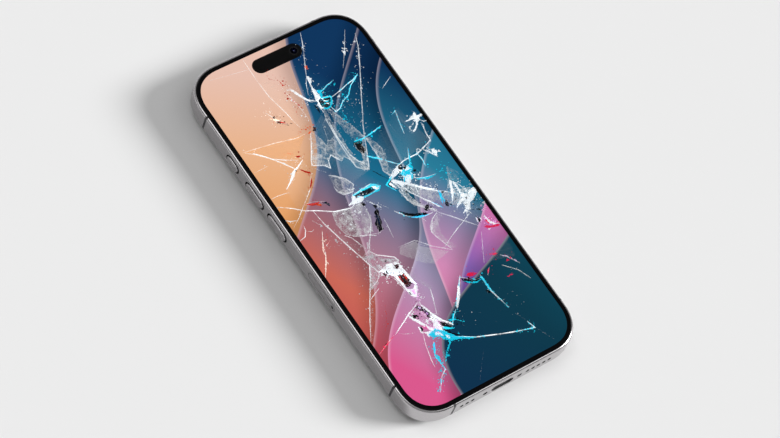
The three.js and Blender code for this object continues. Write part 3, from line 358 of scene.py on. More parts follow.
def lit_picture():
    """A display's own light, through glass. With d the distance past a wave's edge, place + swing times
    the sine along it, the wave covers what lies under it where d > 0, darkens it before the edge with a
    soft shadow, and has a fine light rim. The colours leave the screen as they are written."""
    material, tree = new_material("lit screen picture")
    place = add(tree, "ShaderNodeTexCoord").outputs["Object"]
    turned = add(tree, "ShaderNodeMapping", {
        "Vector": place, "Scale": (in_mm(1),) * 3, "Rotation": (0, 0, radians(WAVES_TURN))})
    axes = add(tree, "ShaderNodeSeparateXYZ", {"Vector": turned.outputs[0]})
    across, along = axes.outputs["X"], axes.outputs["Y"]
    share = add(tree, "ShaderNodeMapRange", {
        "Value": along, "From Min": -PICTURE_REACH, "From Max": PICTURE_REACH})
    ramp = add(tree, "ShaderNodeValToRGB", {"Fac": share.outputs[0]})
    fill_ramp(ramp, GROUND)
    picture = ramp.outputs[0]
    for edge, swing, length, start, stops in WAVES:
        angle = add(tree, "ShaderNodeMath", {0: along, 1: 2 * pi / length, 2: 2 * pi * start},
                    operation="MULTIPLY_ADD")
        wave = add(tree, "ShaderNodeMath", {0: angle.outputs[0]}, operation="SINE")
        crest = add(tree, "ShaderNodeMath", {0: wave.outputs[0], 1: swing, 2: edge},
                    operation="MULTIPLY_ADD")
        past = add(tree, "ShaderNodeMath", {0: across, 1: crest.outputs[0]}, operation="SUBTRACT")
        inside = add(tree, "ShaderNodeMapRange", {
            "Value": past.outputs[0], "From Min": -0.1, "From Max": 0.1}, interpolation_type="SMOOTHSTEP")
        under = add(tree, "ShaderNodeMapRange", {
            "Value": past.outputs[0], "From Min": -SHADOW_REACH, "From Max": 0.5,
            "To Max": SHADOW_STRENGTH}, interpolation_type="SMOOTHSTEP")
        shaded = add(tree, "ShaderNodeMix", {
            "Factor": under.outputs[0], "A": picture, "B": linear("3A1230")},
            data_type="RGBA", blend_type="MULTIPLY")
        drift = add(tree, "ShaderNodeMath", {0: past.outputs[0], 1: WAVE_DRIFT, 2: share.outputs[0]},
                    operation="MULTIPLY_ADD")
        colour = add(tree, "ShaderNodeValToRGB", {"Fac": drift.outputs[0]})
        fill_ramp(colour, [(0.14 + 0.24 * i, stop) for i, stop in enumerate(stops)])
        rim = add(tree, "ShaderNodeMapRange", {
            "Value": past.outputs[0], "From Min": 0.1, "From Max": RIM_REACH, "To Min": RIM_STRENGTH,
            "To Max": 0.0}, interpolation_type="SMOOTHSTEP")
        lit = add(tree, "ShaderNodeMix", {
            "Factor": rim.outputs[0], "A": colour.outputs[0], "B": linear("FFE9F2")},
            data_type="RGBA", blend_type="SCREEN")
        picture = add(tree, "ShaderNodeMix", {
            "Factor": inside.outputs[0], "A": shaded.outputs["Result"], "B": lit.outputs["Result"]},
            data_type="RGBA").outputs["Result"]
    shader = add(tree, "ShaderNodeBsdfPrincipled", {
        "Base Color": (0, 0, 0, 1), "Roughness": 0.6, "Specular IOR Level": 0.0,
        "Emission Color": picture, "Emission Strength": 1.0})
    add(tree, "ShaderNodeOutputMaterial", {"Surface": shader.outputs[0]})
    return material


# Broken glass

POWDER = 0.3846  # grains of powdered glass
CRACK_CLOUD = 4.167  # places where a crack is more or less frosted
VEIL_CLOUD = 1.176  # mottling of a crushed veil
VEIL_HOLES = 3.03  # clear places in it
FACET_CLOUD = 6.667  # unevenness of a clear facet
CRACK_TOP, CRACK_FLOOR = 0.06, 0.36  # where a crack's frost starts and ends, under the top of the glass


def in_border(tree, place):
    """1 in the black border of the glass and 0 over the picture. With p and q the parts of |x| and |y|
    beyond the start of the corners, a place is (p^n + q^n)^(1/n) away from there, n = CORNER_POWER."""
    s = sizes()
    axes = add(tree, "ShaderNodeSeparateXYZ", {"Vector": place})
    powers = []
    for axis, size in (("X", s.width), ("Y", s.height)):
        plain = add(tree, "ShaderNodeMath", {0: axes.outputs[axis]}, operation="ABSOLUTE")
        past = add(tree, "ShaderNodeMath", {0: plain.outputs[0], 1: size / 2 - s.corner},
                   operation="SUBTRACT")
        only = add(tree, "ShaderNodeMath", {0: past.outputs[0], 1: 0.0}, operation="MAXIMUM")
        powers.append(add(tree, "ShaderNodeMath", {0: only.outputs[0], 1: CORNER_POWER},
                          operation="POWER").outputs[0])
    both = add(tree, "ShaderNodeMath", {0: powers[0], 1: powers[1]}, operation="ADD")
    away = add(tree, "ShaderNodeMath", {0: both.outputs[0], 1: 1 / CORNER_POWER}, operation="POWER")
    limit = s.corner - glass_inset() - s.border
    return add(tree, "ShaderNodeMath", {0: away.outputs[0], 1: limit}, operation="GREATER_THAN").outputs[0]


def cracked_glass():
    """Toughened glass with an oil-repelling coat, shattered but held by its film. The eye gets a faint
    mirror where it is whole, white frost with a painted glow on the walls and floors of the cracks,
    clear glass again in the pits that go deeper, and black print in the border."""
    material, tree = new_material("shattered toughened glass")
    place = add(tree, "ShaderNodeTexCoord").outputs["Object"]
    height = add(tree, "ShaderNodeSeparateXYZ", {"Vector": place}).outputs["Z"]
    top = GLASS_HIGH[2]
    below_top = add(tree, "ShaderNodeMath", {0: height, 1: top - mm(CRACK_TOP)}, operation="LESS_THAN")
    above_floor = add(tree, "ShaderNodeMath", {0: height, 1: top - mm(CRACK_FLOOR)},
                      operation="GREATER_THAN")
    in_crack = add(tree, "ShaderNodeMath", {0: below_top.outputs[0], 1: above_floor.outputs[0]},
                   operation="MULTIPLY")
    fine = add(tree, "ShaderNodeTexNoise", {"Vector": place, "Scale": per_metre(POWDER), "Detail": 3.0})
    broad = add(tree, "ShaderNodeTexNoise", {"Vector": place, "Scale": per_metre(CRACK_CLOUD),
                                             "Detail": 2.0})
    mixed = add(tree, "ShaderNodeMath", {0: fine.outputs["Fac"], 1: broad.outputs["Fac"]},
                operation="ADD")
    density = add(tree, "ShaderNodeMapRange", {
        "Value": mixed.outputs[0], "From Min": 0.72, "From Max": 1.12, "To Min": 0.1, "To Max": 0.95})
    frost = add(tree, "ShaderNodeMath", {0: density.outputs[0], 1: in_crack.outputs[0]},
                operation="MULTIPLY")
    # The frost also glows white: a painted glow for light that the cracks scatter.
    frost_and_painted_glow = add(tree, "ShaderNodeBsdfPrincipled", {
        "Base Color": linear("E6EAEC"), "Roughness": 0.5, "Emission Color": linear("FFFFFF"),
        "Emission Strength": 0.35})
    gloss = add(tree, "ShaderNodeBsdfGlossy", {"Color": (1, 1, 1, 1), "Roughness": 0.03})
    clear = add(tree, "ShaderNodeBsdfTransparent", {"Color": (1, 1, 1, 1)})
    fresnel = add(tree, "ShaderNodeFresnel", {"IOR": 1.4})
    pane = add(tree, "ShaderNodeMixShader", {0: fresnel.outputs[0], 1: clear.outputs[0],
                                             2: gloss.outputs[0]})
    whole = add(tree, "ShaderNodeMixShader", {0: frost.outputs[0], 1: pane.outputs[0],
                                              2: frost_and_painted_glow.outputs[0]})
    ink = add(tree, "ShaderNodeBsdfPrincipled", {
        "Base Color": linear(colours().border), "Roughness": 0.12, "Specular IOR Level": 0.12})
    inked = add(tree, "ShaderNodeMixShader", {0: in_border(tree, place), 1: whole.outputs[0],
                                              2: ink.outputs[0]})
    add(tree, "ShaderNodeOutputMaterial", {"Surface": inked.outputs[0]})
    return material


# Tones that broken glass takes: white where it scatters the room, and, as painted glints, warm whites
# and the screen's own colour, strengthened, where it catches the picture's light, and dark where a splinter
# is gone.
TONES = {
    "white": "EEF3F6", "grey": "C9CED2", "warm": "FFF0E2", "frost": "DDDFE0",
    "cyan": "19CFE8", "red": "B4210F", "orange": "DE5A28", "crimson": "DC1E50",
    "magenta": "F7C3F2", "amber": "FFC078", "rose": "D86AA8", "lilac": "B58AC8",
    "black": "04060A", "navy": "0A1E3A", "maroon": "3A0B0B",
}


def fracture(name, softness, grain, glow, bite=3.0):
    """A fracture face inside the glass. It is white where it scatters light, or takes the tone of the
    picture below as a painted glint, and its emission in that tone is a painted glow. A noise with grains of
    this many millimetres eats its edge away, by the strength bite, and softness is how slowly the face fades
    there."""
    material, tree = new_material(name)
    place = add(tree, "ShaderNodeTexCoord").outputs["Object"]
    tone, cover, edge = [add(tree, "ShaderNodeAttribute", attribute_name=label)
                         for label in ("tone", "cover", "edge")]
    noise = add(tree, "ShaderNodeTexNoise", {"Vector": place, "Scale": per_metre(grain), "Detail": 4.0,
                                             "Roughness": 0.65})
    eaten = add(tree, "ShaderNodeMath", {0: noise.outputs["Fac"], 1: bite, 2: -bite / 2},
                operation="MULTIPLY_ADD")
    inner = add(tree, "ShaderNodeMath", {0: edge.outputs["Fac"], 1: 0.5, 2: eaten.outputs[0]},
                operation="MULTIPLY_ADD")
    kept = add(tree, "ShaderNodeMath", {0: cover.outputs["Fac"], 1: 0.9, 2: inner.outputs[0]},
               operation="MULTIPLY_ADD")
    alpha = add(tree, "ShaderNodeMapRange", {
        "Value": kept.outputs[0], "From Min": 0.8 - softness, "From Max": 0.8 + softness},
        interpolation_type="SMOOTHSTEP")
    shader = add(tree, "ShaderNodeBsdfPrincipled", {
        "Base Color": tone.outputs["Color"], "Roughness": 0.4, "Specular IOR Level": 0.2,
        "Emission Color": tone.outputs["Color"], "Emission Strength": glow, "Alpha": alpha.outputs[0]})
    add(tree, "ShaderNodeOutputMaterial", {"Surface": shader.outputs[0]})
    return material


def crushed_veil():
    """A slanting fracture face that is crushed to a fine frost. The eye gets a cloudy, mottled white film
    with streaks away from the crack, holes in it, a brighter rim along the crack and a faint painted glow."""
    material, tree = new_material("crushed glass veil")
    place = add(tree, "ShaderNodeTexCoord").outputs["Object"]
    tone, cover, edge, flow = [add(tree, "ShaderNodeAttribute", attribute_name=label)
                               for label in ("tone", "cover", "edge", "flow")]
    cloud = add(tree, "ShaderNodeTexNoise", {"Vector": place, "Scale": per_metre(VEIL_CLOUD),
                                             "Detail": 5.0, "Roughness": 0.7, "Distortion": 0.5})
    streak = add(tree, "ShaderNodeTexNoise", {"Vector": flow.outputs["Vector"], "Scale": 1.0,
                                              "Detail": 3.0, "Roughness": 0.6})
    both = add(tree, "ShaderNodeMath", {0: cloud.outputs["Fac"], 1: streak.outputs["Fac"]},
               operation="ADD")
    frost = add(tree, "ShaderNodeMapRange", {
        "Value": both.outputs[0], "From Min": 0.84, "From Max": 1.14, "To Min": 0.12, "To Max": 1.1})
    broad = add(tree, "ShaderNodeTexNoise", {"Vector": place, "Scale": per_metre(VEIL_HOLES),
                                             "Detail": 3.0, "Roughness": 0.6, "Distortion": 0.8})
    holes = add(tree, "ShaderNodeMapRange", {
        "Value": broad.outputs["Fac"], "From Min": 0.38, "From Max": 0.56, "To Min": 0.25, "To Max": 1.1},
        interpolation_type="SMOOTHSTEP")
    patchy = add(tree, "ShaderNodeMath", {0: frost.outputs[0], 1: holes.outputs[0]},
                 operation="MULTIPLY")
    film = add(tree, "ShaderNodeMath", {0: patchy.outputs[0], 1: cover.outputs["Fac"]},
               operation="MULTIPLY")
    grain = add(tree, "ShaderNodeTexNoise", {"Vector": place, "Scale": per_metre(POWDER), "Detail": 2.0})
    broken = add(tree, "ShaderNodeMapRange", {
        "Value": grain.outputs["Fac"], "From Min": 0.38, "From Max": 0.58, "To Min": 0.15, "To Max": 1.0})
    rim = add(tree, "ShaderNodeMath", {0: broken.outputs[0], 1: edge.outputs["Fac"]},
              operation="MULTIPLY")
    alpha = add(tree, "ShaderNodeMath", {0: film.outputs[0], 1: rim.outputs[0]}, operation="ADD",
                use_clamp=True)
    shader = add(tree, "ShaderNodeBsdfPrincipled", {
        "Base Color": tone.outputs["Color"], "Roughness": 0.6, "Specular IOR Level": 0.1,
        "Emission Color": tone.outputs["Color"], "Emission Strength": 0.32, "Alpha": alpha.outputs[0]})
    add(tree, "ShaderNodeOutputMaterial", {"Surface": shader.outputs[0]})
    return material


def painted_facet_light():
    """A splinter of clear glass that lies askew. It only shifts the light of the picture, so that shift is
    painted as light: a faint even film, glowing in its tone, that is a little stronger at its crack."""
    material, tree = new_material("painted light of a tilted facet")
    place = add(tree, "ShaderNodeTexCoord").outputs["Object"]
    tone, cover = [add(tree, "ShaderNodeAttribute", attribute_name=label) for label in ("tone", "cover")]
    cloud = add(tree, "ShaderNodeTexNoise", {"Vector": place, "Scale": per_metre(FACET_CLOUD),
                                             "Detail": 3.0})
    uneven = add(tree, "ShaderNodeMapRange", {
        "Value": cloud.outputs["Fac"], "From Min": 0.3, "From Max": 0.7, "To Min": 0.75, "To Max": 1.15})
    alpha = add(tree, "ShaderNodeMath", {0: uneven.outputs[0], 1: cover.outputs["Fac"]},
                operation="MULTIPLY", use_clamp=True)
    shader = add(tree, "ShaderNodeBsdfPrincipled", {
        "Base Color": tone.outputs["Color"], "Roughness": 0.3, "Specular IOR Level": 0.2,
        "Emission Color": tone.outputs["Color"], "Emission Strength": 0.35, "Alpha": alpha.outputs[0]})
    add(tree, "ShaderNodeOutputMaterial", {"Surface": shader.outputs[0]})
    return material


# How deep each piece of the breakage lies under the top of the glass, in mm
DEPTHS = {"facet_light_film": 0.385, "splinter_gaps": 0.33, "crushed_veils": 0.27, "white_cracks": 0.22,
          "colour_glints": 0.18, "hub_splinters": 0.17, "impact_stars": 0.13, "glass_crumbs": 0.09}
SLANT = 0.04  # the height that a tilted face takes up
STROKE_STEP = 0.3  # between the points along a drawn crack
POWDER_SIZE = 0.1  # of the crumbs beside a drawn crack


def resample(points, step):
    """A polyline's points again at even steps along it, with the distance of each from the start."""
    points = np.asarray(points, float)
    lengths = np.hypot(*np.diff(points, axis=0).T)
    reach = np.concatenate([[0], np.cumsum(lengths)])
    count = max(int(reach[-1] / step) + 2, 4)
    s = np.linspace(0, reach[-1], count)
    return np.stack([np.interp(s, reach, points[:, k]) for k in (0, 1)], -1), s


def wander(rng, count, size, every):
    """Random swings around zero: a normal value every few points, joined by straight lines."""
    knots = max(count // every, 1) + 2
    return np.interp(np.linspace(0, knots - 1, count), np.arange(knots), rng.normal(0, size, knots))


def ribbon(rng, points, width, height, slant, jitter=0.05, point=0.15):
    """A strip along a polyline, three points across. Its half width is half the width times a random
    swell and point + (1 - point) sin(pi share)^0.5, with share the part of the length, and small random
    swings push it sideways. One side lies lower than the other by slant. Returns points, faces and how
    far each point is from the strip's sides, 0 to 1."""
    path, s = resample(points, STROKE_STEP)
    n = len(path)
    along = np.gradient(path, axis=0)
    along /= np.maximum(np.hypot(*along.T), 1e-9)[:, None]
    side = np.stack([-along[:, 1], along[:, 0]], -1)
    path = path + side * (wander(rng, n, jitter, 3) * np.minimum(s, s[-1] - s).clip(0, 1))[:, None]
    share = s / s[-1]
    taper = point + (1 - point) * np.sin(pi * share).clip(0, 1) ** 0.5
    half = (width / 2 * taper * (1 + wander(rng, n, 0.35, 4)).clip(0.3, 1.8))[:, None]
    lines = [path - side * half, path, path + side * half]
    z = [height - slant / 2, height, height + slant / 2]
    stack = np.stack([np.column_stack([line, np.full(n, level)]) for line, level in zip(lines, z)], 1)
    edge = np.tile([0.0, 1.0, 0.0], n)
    return stack.reshape(-1, 3), grid_faces(n, 3), edge


SHARD_LIFT = 0.0004  # from one splinter to the next one up
VEIL_RIM = 0.28  # over which the bright rim of a veil falls to a third
VEIL_STREAKS = (0.41667, 1.1111)  # size of a veil's streaks along the crack, and away from it
VEIL_ROWS = np.array([0, 0.03, 0.08, 0.16, 0.28, 0.42, 0.58, 0.72, 0.84, 0.92, 0.97, 1.0])


class Broken:
    """Collects the strips, veils, splinters and crumbs of one piece of broken glass, with their tones."""

    def __init__(self, name, seed):
        self.name = name
        self.height = in_mm(GLASS_HIGH[2]) - DEPTHS[name]
        self.rng = np.random.default_rng(seed)
        self.points, self.faces, self.tones, self.cover, self.edge, self.flow = [], [], [], [], [], []
        self.count = 0

    def keep(self, points, faces, tone, cover, edge, flow=None):
        """Adds one surface. Tone is a name from TONES. Cover, how much of it is left, and edge, how far
        in from its side or how bright its rim is, are one number or one for each point. Flow is the place
        that its streaks are read at."""
        n = len(points)
        self.points.append(points)
        self.faces.append(np.asarray(faces) + self.count)
        self.tones.append(np.tile(linear(TONES[tone]), (n, 1)))
        self.cover.append(np.broadcast_to(cover, n))
        self.edge.append(np.broadcast_to(edge, n))
        self.flow.append(np.zeros((n, 3)) if flow is None else flow)
        self.count += n

    def strokes(self, strokes, slant=SLANT, jitter=0.05, barbs=0.0, dust=0.0):
        """Strips from rows of tone, cover, width in mm and the points x, y, x, y and so on. Each has
        about this many barbs and crumbs of dust to the millimetre."""
        for tone, cover, width, *flat in strokes:
            line = np.reshape(flat, (-1, 2))
            wide = width * sizes().cracks
            points, faces, edge = ribbon(self.rng, line, wide, self.height, slant, jitter)
            self.keep(points, faces, tone, cover, edge)
            path, s = resample(line, STROKE_STEP)
            for _ in range(self.rng.poisson(barbs * s[-1] * cover)):
                self.barb(tone, cover, wide * 0.7, path)
            count = self.rng.poisson(dust * s[-1] * cover)
            if count:
                self.crumbs(tone, 0.25 + width * 0.8, count, POWDER_SIZE, path)

    def barb(self, tone, cover, width, path):
        """A short side crack that leaves a path at a random place, with one bend in it."""
        start = self.rng.integers(0, len(path) - 1)
        ahead = path[start + 1] - path[start]
        turn = np.arctan2(ahead[1], ahead[0]) + self.rng.choice([-1, 1]) * self.rng.uniform(0.3, 1.2)
        reach = 0.9 * self.rng.lognormal(0, 0.6)
        bend = turn + self.rng.normal(0, 0.5)
        middle = path[start] + 0.6 * reach * np.array([np.cos(turn), np.sin(turn)])
        end = middle + 0.4 * reach * np.array([np.cos(bend), np.sin(bend)])
        line = [path[start], middle, end]
        points, faces, edge = ribbon(self.rng, line, width, self.height, SLANT, 0.04, 0.1)
        self.keep(points, faces, tone, cover * 0.9, edge)

    def shards(self, shards, ragged=0.08):
        """Splinters and holes with ragged outlines, from rows of tone and the outline's points. Each
        lies a hair above the one before it, so that they don't flicker."""
        for order, (tone, *flat) in enumerate(shards):
            outline = np.reshape(flat, (-1, 2))
            path, _ = resample(np.concatenate([outline, outline[:1]]), 0.2)
            path = path[:-1] + self.rng.normal(0, ragged, (len(path) - 1, 2))
            n = len(path)
            points = np.column_stack([path, np.full(n, self.height + SHARD_LIFT * order)])
            self.keep(points, [list(range(n))], tone, 1.0, 0.75)

    def veil(self, tone, cover, far, first, second, slant=SLANT):
        """A ruled surface a + (b - a) v between two polylines, with v from 0 to 1 as VEIL_ROWS has it.
        The film is cover (1 + (far - 1) v^1.5) and the rim falls off from both lines as exp(-d / VEIL_RIM),
        so far says how much is left of them at the second one."""
        a, s = resample(np.reshape(first, (-1, 2)), 0.35)
        share = s / s[-1]
        b, t = resample(np.reshape(second, (-1, 2)), 0.25)
        b = np.stack([np.interp(share, t / t[-1], b[:, k]) for k in (0, 1)], -1)
        n = len(a)
        a = a + self.rng.normal(0, 0.07, a.shape)
        b = b + self.rng.normal(0, 0.07 + 0.35 * (1 - far), b.shape)
        v = VEIL_ROWS
        rows = len(v)
        flat = a[:, None] + (b - a)[:, None] * v[None, :, None]
        z = np.broadcast_to(self.height - slant * v[None, :, None], (n, rows, 1))
        points = np.concatenate([flat, z], -1).reshape(-1, 3)
        wide = np.maximum(np.hypot(*(b - a).T), 0.05)[:, None]
        film = cover * (1 + (far - 1) * v ** 1.5) * np.ones((n, 1))
        rim = 0.75 * np.exp(-v * wide / VEIL_RIM) + 0.75 * far * np.exp(-(1 - v) * wide / VEIL_RIM)
        u = np.broadcast_to(s[:, None, None], (n, rows, 1))
        w = (v * wide)[..., None]
        seed = np.full((n, rows, 1), self.rng.uniform(0, 50))
        flow = np.concatenate([u / VEIL_STREAKS[0], w / VEIL_STREAKS[1], seed], -1)
        self.keep(points, grid_faces(n, rows), tone, film.ravel(), rim.ravel() * min(1.0, cover * 1.8),
                  flow.reshape(-1, 3))

    def crumbs(self, tone, spread, count, size, middles):
        """Crumbs of glass scattered around points: small triangles of random size and turn."""
        middles = np.reshape(middles, (-1, 2))
        pick = self.rng.integers(0, len(middles), count)
        at = middles[pick] + self.rng.normal(0, spread, (count, 2))
        turn = self.rng.uniform(0, 2 * pi, (count, 1)) + np.array([0, 2.0, 4.3])
        r = size * self.rng.lognormal(0.2, 0.6, (count, 1)) * self.rng.uniform(0.5, 1.2, (count, 3))
        flat = at[:, None] + np.stack([np.cos(turn), np.sin(turn)], -1) * r[..., None]
        z = np.full((count, 3, 1), self.height) + self.rng.uniform(-0.02, 0.02, (count, 3, 1))
        points = np.concatenate([flat, z], -1).reshape(-1, 3)
        faces = np.arange(count * 3).reshape(-1, 3)
        self.keep(points, faces, tone, 1.0, 1.2)

    def build(self, material):
        """Makes the piece, with its tone, cover, edge and flow kept as attributes."""
        faces = [face for block in self.faces for face in block.tolist()]
        points = np.concatenate(self.points)
        mesh = new_piece(self.name, points, faces, material, "phone").data
        tone = mesh.attributes.new("tone", "FLOAT_COLOR", "POINT")
        tone.data.foreach_set("color", np.concatenate(self.tones).astype(np.float32).ravel())
        for label, values in (("cover", self.cover), ("edge", self.edge)):
            attribute = mesh.attributes.new(label, "FLOAT", "POINT")
            attribute.data.foreach_set("value", np.concatenate(values).astype(np.float32))
        flow = mesh.attributes.new("flow", "FLOAT_VECTOR", "POINT")
        flow.data.foreach_set("vector", np.concatenate(self.flow).astype(np.float32).ravel())


# Where the glass is broken, read off the photo, in mm from the middle of the screen

# White cracks: tone, cover, width, then the points along it.
WHITE_LINES = [
    # upper left
    ("warm", 0.35, 0.16, -11.3, 70.5, -11.5, 60, -11.2, 54, -9.5, 46, -9, 42, -8.3, 39),
    ("grey", 0.2, 0.14, -26, 68.8, -12, 66.5),
    ("white", 0.35, 0.2, -5.1, 52.8, -4.6, 49, -4, 46.8, -3.9, 44, -3.8, 40),
    ("warm", 0.4, 0.18, -31.5, 39.6, -20, 37.8, -12, 36, -8, 36),
    ("white", 0.5, 0.2, -31, 39.2, -28, 37, -24, 33, -20, 30.5, -16, 28.5),
    ("warm", 0.5, 0.22, -15.8, 49.3, -14.2, 45.8, -13.2, 44.6, -11.5, 42.6),
    # first hub
    ("white", 0.4, 0.18, 5, 55, 6.5, 58, 9.5, 63.5, 11.5, 67.5, 13, 71),
    ("white", 0.4, 0.16, 1.5, 48.5, 3, 52, 4.5, 54.5),
    ("grey", 0.55, 0.3, 30.2, 61.5, 28, 56.5, 26, 53.5, 24, 49.5, 22, 46.5, 20, 43, 17.5, 39, 14, 33,
     12, 30, 10.5, 27, 9.7, 25.5, 8, 22, 6.5, 19, 4.5, 15, 3.5, 14.2),
    ("grey", 0.2, 0.14, 28, 65, 23.5, 58.5, 18.5, 52),
    ("white", 0.45, 0.16, 26.5, 39, 28.5, 40, 31.5, 41.5),
    # left
    ("white", 0.6, 0.24, -28.5, 37.8, -25.5, 34.8, -22, 30.5, -20.8, 29.5, -19.5, 27, -18.9, 26),
    ("white", 0.45, 0.18, -32, 7.2, -28, 9.8, -26, 11.5, -23, 13.7, -19, 16.8, -15, 22),
    ("white", 0.65, 0.26, -32.5, 16.5, -28, 13.5, -25, 11, -21, 9, -18, 7, -16, 6, -13, 5, -10, 4.5,
     -5.5, 6.5),
    ("white", 0.55, 0.28, -22.5, 9.8, -22, 5, -21.5, 2, -20.5, -2, -19.5, -6.5, -18.5, -10, -17.5, -13,
     -16.8, -16.5, -18.5, -19.5, -20.5, -22.5, -22, -24.5, -24.5, -28, -26.5, -31, -28.5, -34,
     -32.5, -40.5),
    ("white", 0.7, 0.28, -33, 11, -31.5, 9.8, -29.5, 9.2),
    ("white", 0.6, 0.24, -33, 2, -30.3, 2.6, -29, 4.5, -28.5, 6),
    ("white", 0.5, 0.2, -29, 4.5, -27.5, 3.2, -26.5, 3.3),
    ("white", 0.5, 0.22, -25, 7, -24, 5.3, -23, 4, -22.4, 2.8),
    ("white", 0.45, 0.18, -32, 31.2, -27, 31.3),
    ("white", 0.4, 0.16, -33, 20, -30, 20, -26, 19.5),
    ("warm", 0.75, 0.34, -24, 1.5, -26.5, -2.5, -27.8, -4.5, -28, -6.5, -29.5, -9, -31, -11,
     -32.8, -13.5),
    # middle
    ("white", 0.6, 0.24, -6, 36, -8, 32.5, -10, 29, -12, 26.5, -13, 24.5, -9, 22.5, -7.8, 20.7,
     -6.8, 23.5, -4.8, 25, -4, 23, -2.7, 21.3, -1, 22.5, 0.4, 20),
    ("grey", 0.6, 0.24, -10, 18.8, -8.5, 18, -5.5, 15, -4.2, 11.8, -6.5, 9.5, -9.5, 10, -10.8, 12,
     -10.8, 14),
    ("grey", 0.5, 0.2, -13.5, 24, -10, 20),
    ("grey", 0.6, 0.26, 1.5, 38, 1, 32, 0.5, 27, 0.3, 20, 0.5, 17, 2.3, 15, 4, 14.2, 5.5, 17, 8, 22,
     10, 26),
    ("grey", 0.5, 0.2, 2, 36, 1.2, 30, 1.2, 22, 2.5, 18.5, 4, 17),
    ("grey", 0.5, 0.2, -2.5, 30, -0.5, 36.5, 2, 38),
    ("grey", 0.6, 0.26, 9.8, 25, 9.8, 21, 9.6, 17, 8.7, 13, 8, 11.5, 8.8, 9, 10, 8),
    ("white", 0.5, 0.2, 10.2, 17, 12, 17, 12.7, 19.5),
    ("white", 0.75, 0.3, 8.5, 8, 11, 9.8, 14, 10.8, 16.5, 11.5, 19, 11.8, 22, 11.6, 24.5, 12.1,
     27, 13, 29.8, 14, 30, 17, 30.8, 21),
    ("white", 0.5, 0.2, -18, -3.3, -16.5, -5, -15, -9, -14.5, -10.5),
    ("white", 0.5, 0.22, -15, -5.2, -13, -5.8, -10.5, -7, -8.5, -8.2, -6.5, -8),
    ("grey", 0.55, 0.32, -7, -3, -10, -7, -12.5, -10, -14.5, -13),
    ("grey", 0.4, 0.16, -2.3, -4, -2.9, -8, -3.5, -11.5),
    # right middle
    ("white", 0.8, 0.36, 14, 2, 17, -1, 21, -4, 24, -6, 26.5, -8),
    ("white", 0.75, 0.32, 11, 1, 13, -2, 15, -5, 18, -9.5),
    ("grey", 0.5, 0.24, 16, -10.8, 19, -14, 21.5, -17, 25.5, -21.5),
    ("white", 0.6, 0.24, 2.5, -3.5, 5, -6.5, 8, -9, 11, -9.8, 14, -10),
    ("white", 0.45, 0.18, -0.5, 1.5, 1.5, -1.5),
    ("grey", 0.5, 0.22, 8.5, 2, 9.5, -3, 12, -6, 15, -9, 16, -10.5),
    ("grey", 0.5, 0.22, 15.5, -10.5, 12.5, -12, 10.2, -14, 9.5, -16, 10, -18.5, 11, -21.5, 12, -24.5),
    ("grey", 0.35, 0.18, -4.2, -15.5, 2.5, -16, 3, -18, 7, -21, 12.2, -25),
    # lower hub
    ("white", 0.55, 0.26, -15.5, -21, -18, -23, -21, -24),
    ("white", 0.55, 0.24, -24, -27.7, -21.5, -26.5, -19, -25.5),
    # bottom
    ("white", 0.7, 0.28, -23.6, -42.3, -21, -41, -15.5, -38.3, -12, -36.8, -10.2, -36),
    ("white", 0.45, 0.18, -22.5, -42.5, -20.5, -43.8, -17.5, -45),
    ("white", 0.75, 0.32, -15.8, -39, -14, -42, -12.5, -46),
    ("white", 0.75, 0.32, -10, -36.5, -8.5, -41, -6.5, -45.5, -4, -48),
    ("grey", 0.45, 0.22, -15, -46, -17, -51, -18.3, -56, -18.7, -58.5),
    ("grey", 0.5, 0.24, -3.5, -34, -4.5, -37, -6.8, -42.5),
    ("grey", 0.4, 0.18, -12, -34, -13.5, -41),
    ("grey", 0.2, 0.14, -8, -70, 0, -61),
    ("white", 0.85, 0.34, 0.5, -43.8, 3, -40.8, 5.5, -38.5, 7.5, -35.5, 8.5, -34.5),
    ("white", 0.75, 0.3, 15, -37.5, 15, -40, 14.8, -42.5, 15, -45, 15.4, -46.5),
    ("white", 0.5, 0.22, 14.5, -43, 13.3, -44.3),
    ("grey", 0.2, 0.14, 17, -54, 19.5, -59.5),
    ("grey", 0.2, 0.14, 20.8, -63.5, 24, -70),
    ("warm", 0.3, 0.18, 24, -38, 28, -42, 30, -46.5),
    ("grey", 0.35, 0.16, 25, -24, 22.2, -28.6, 19, -34),
]

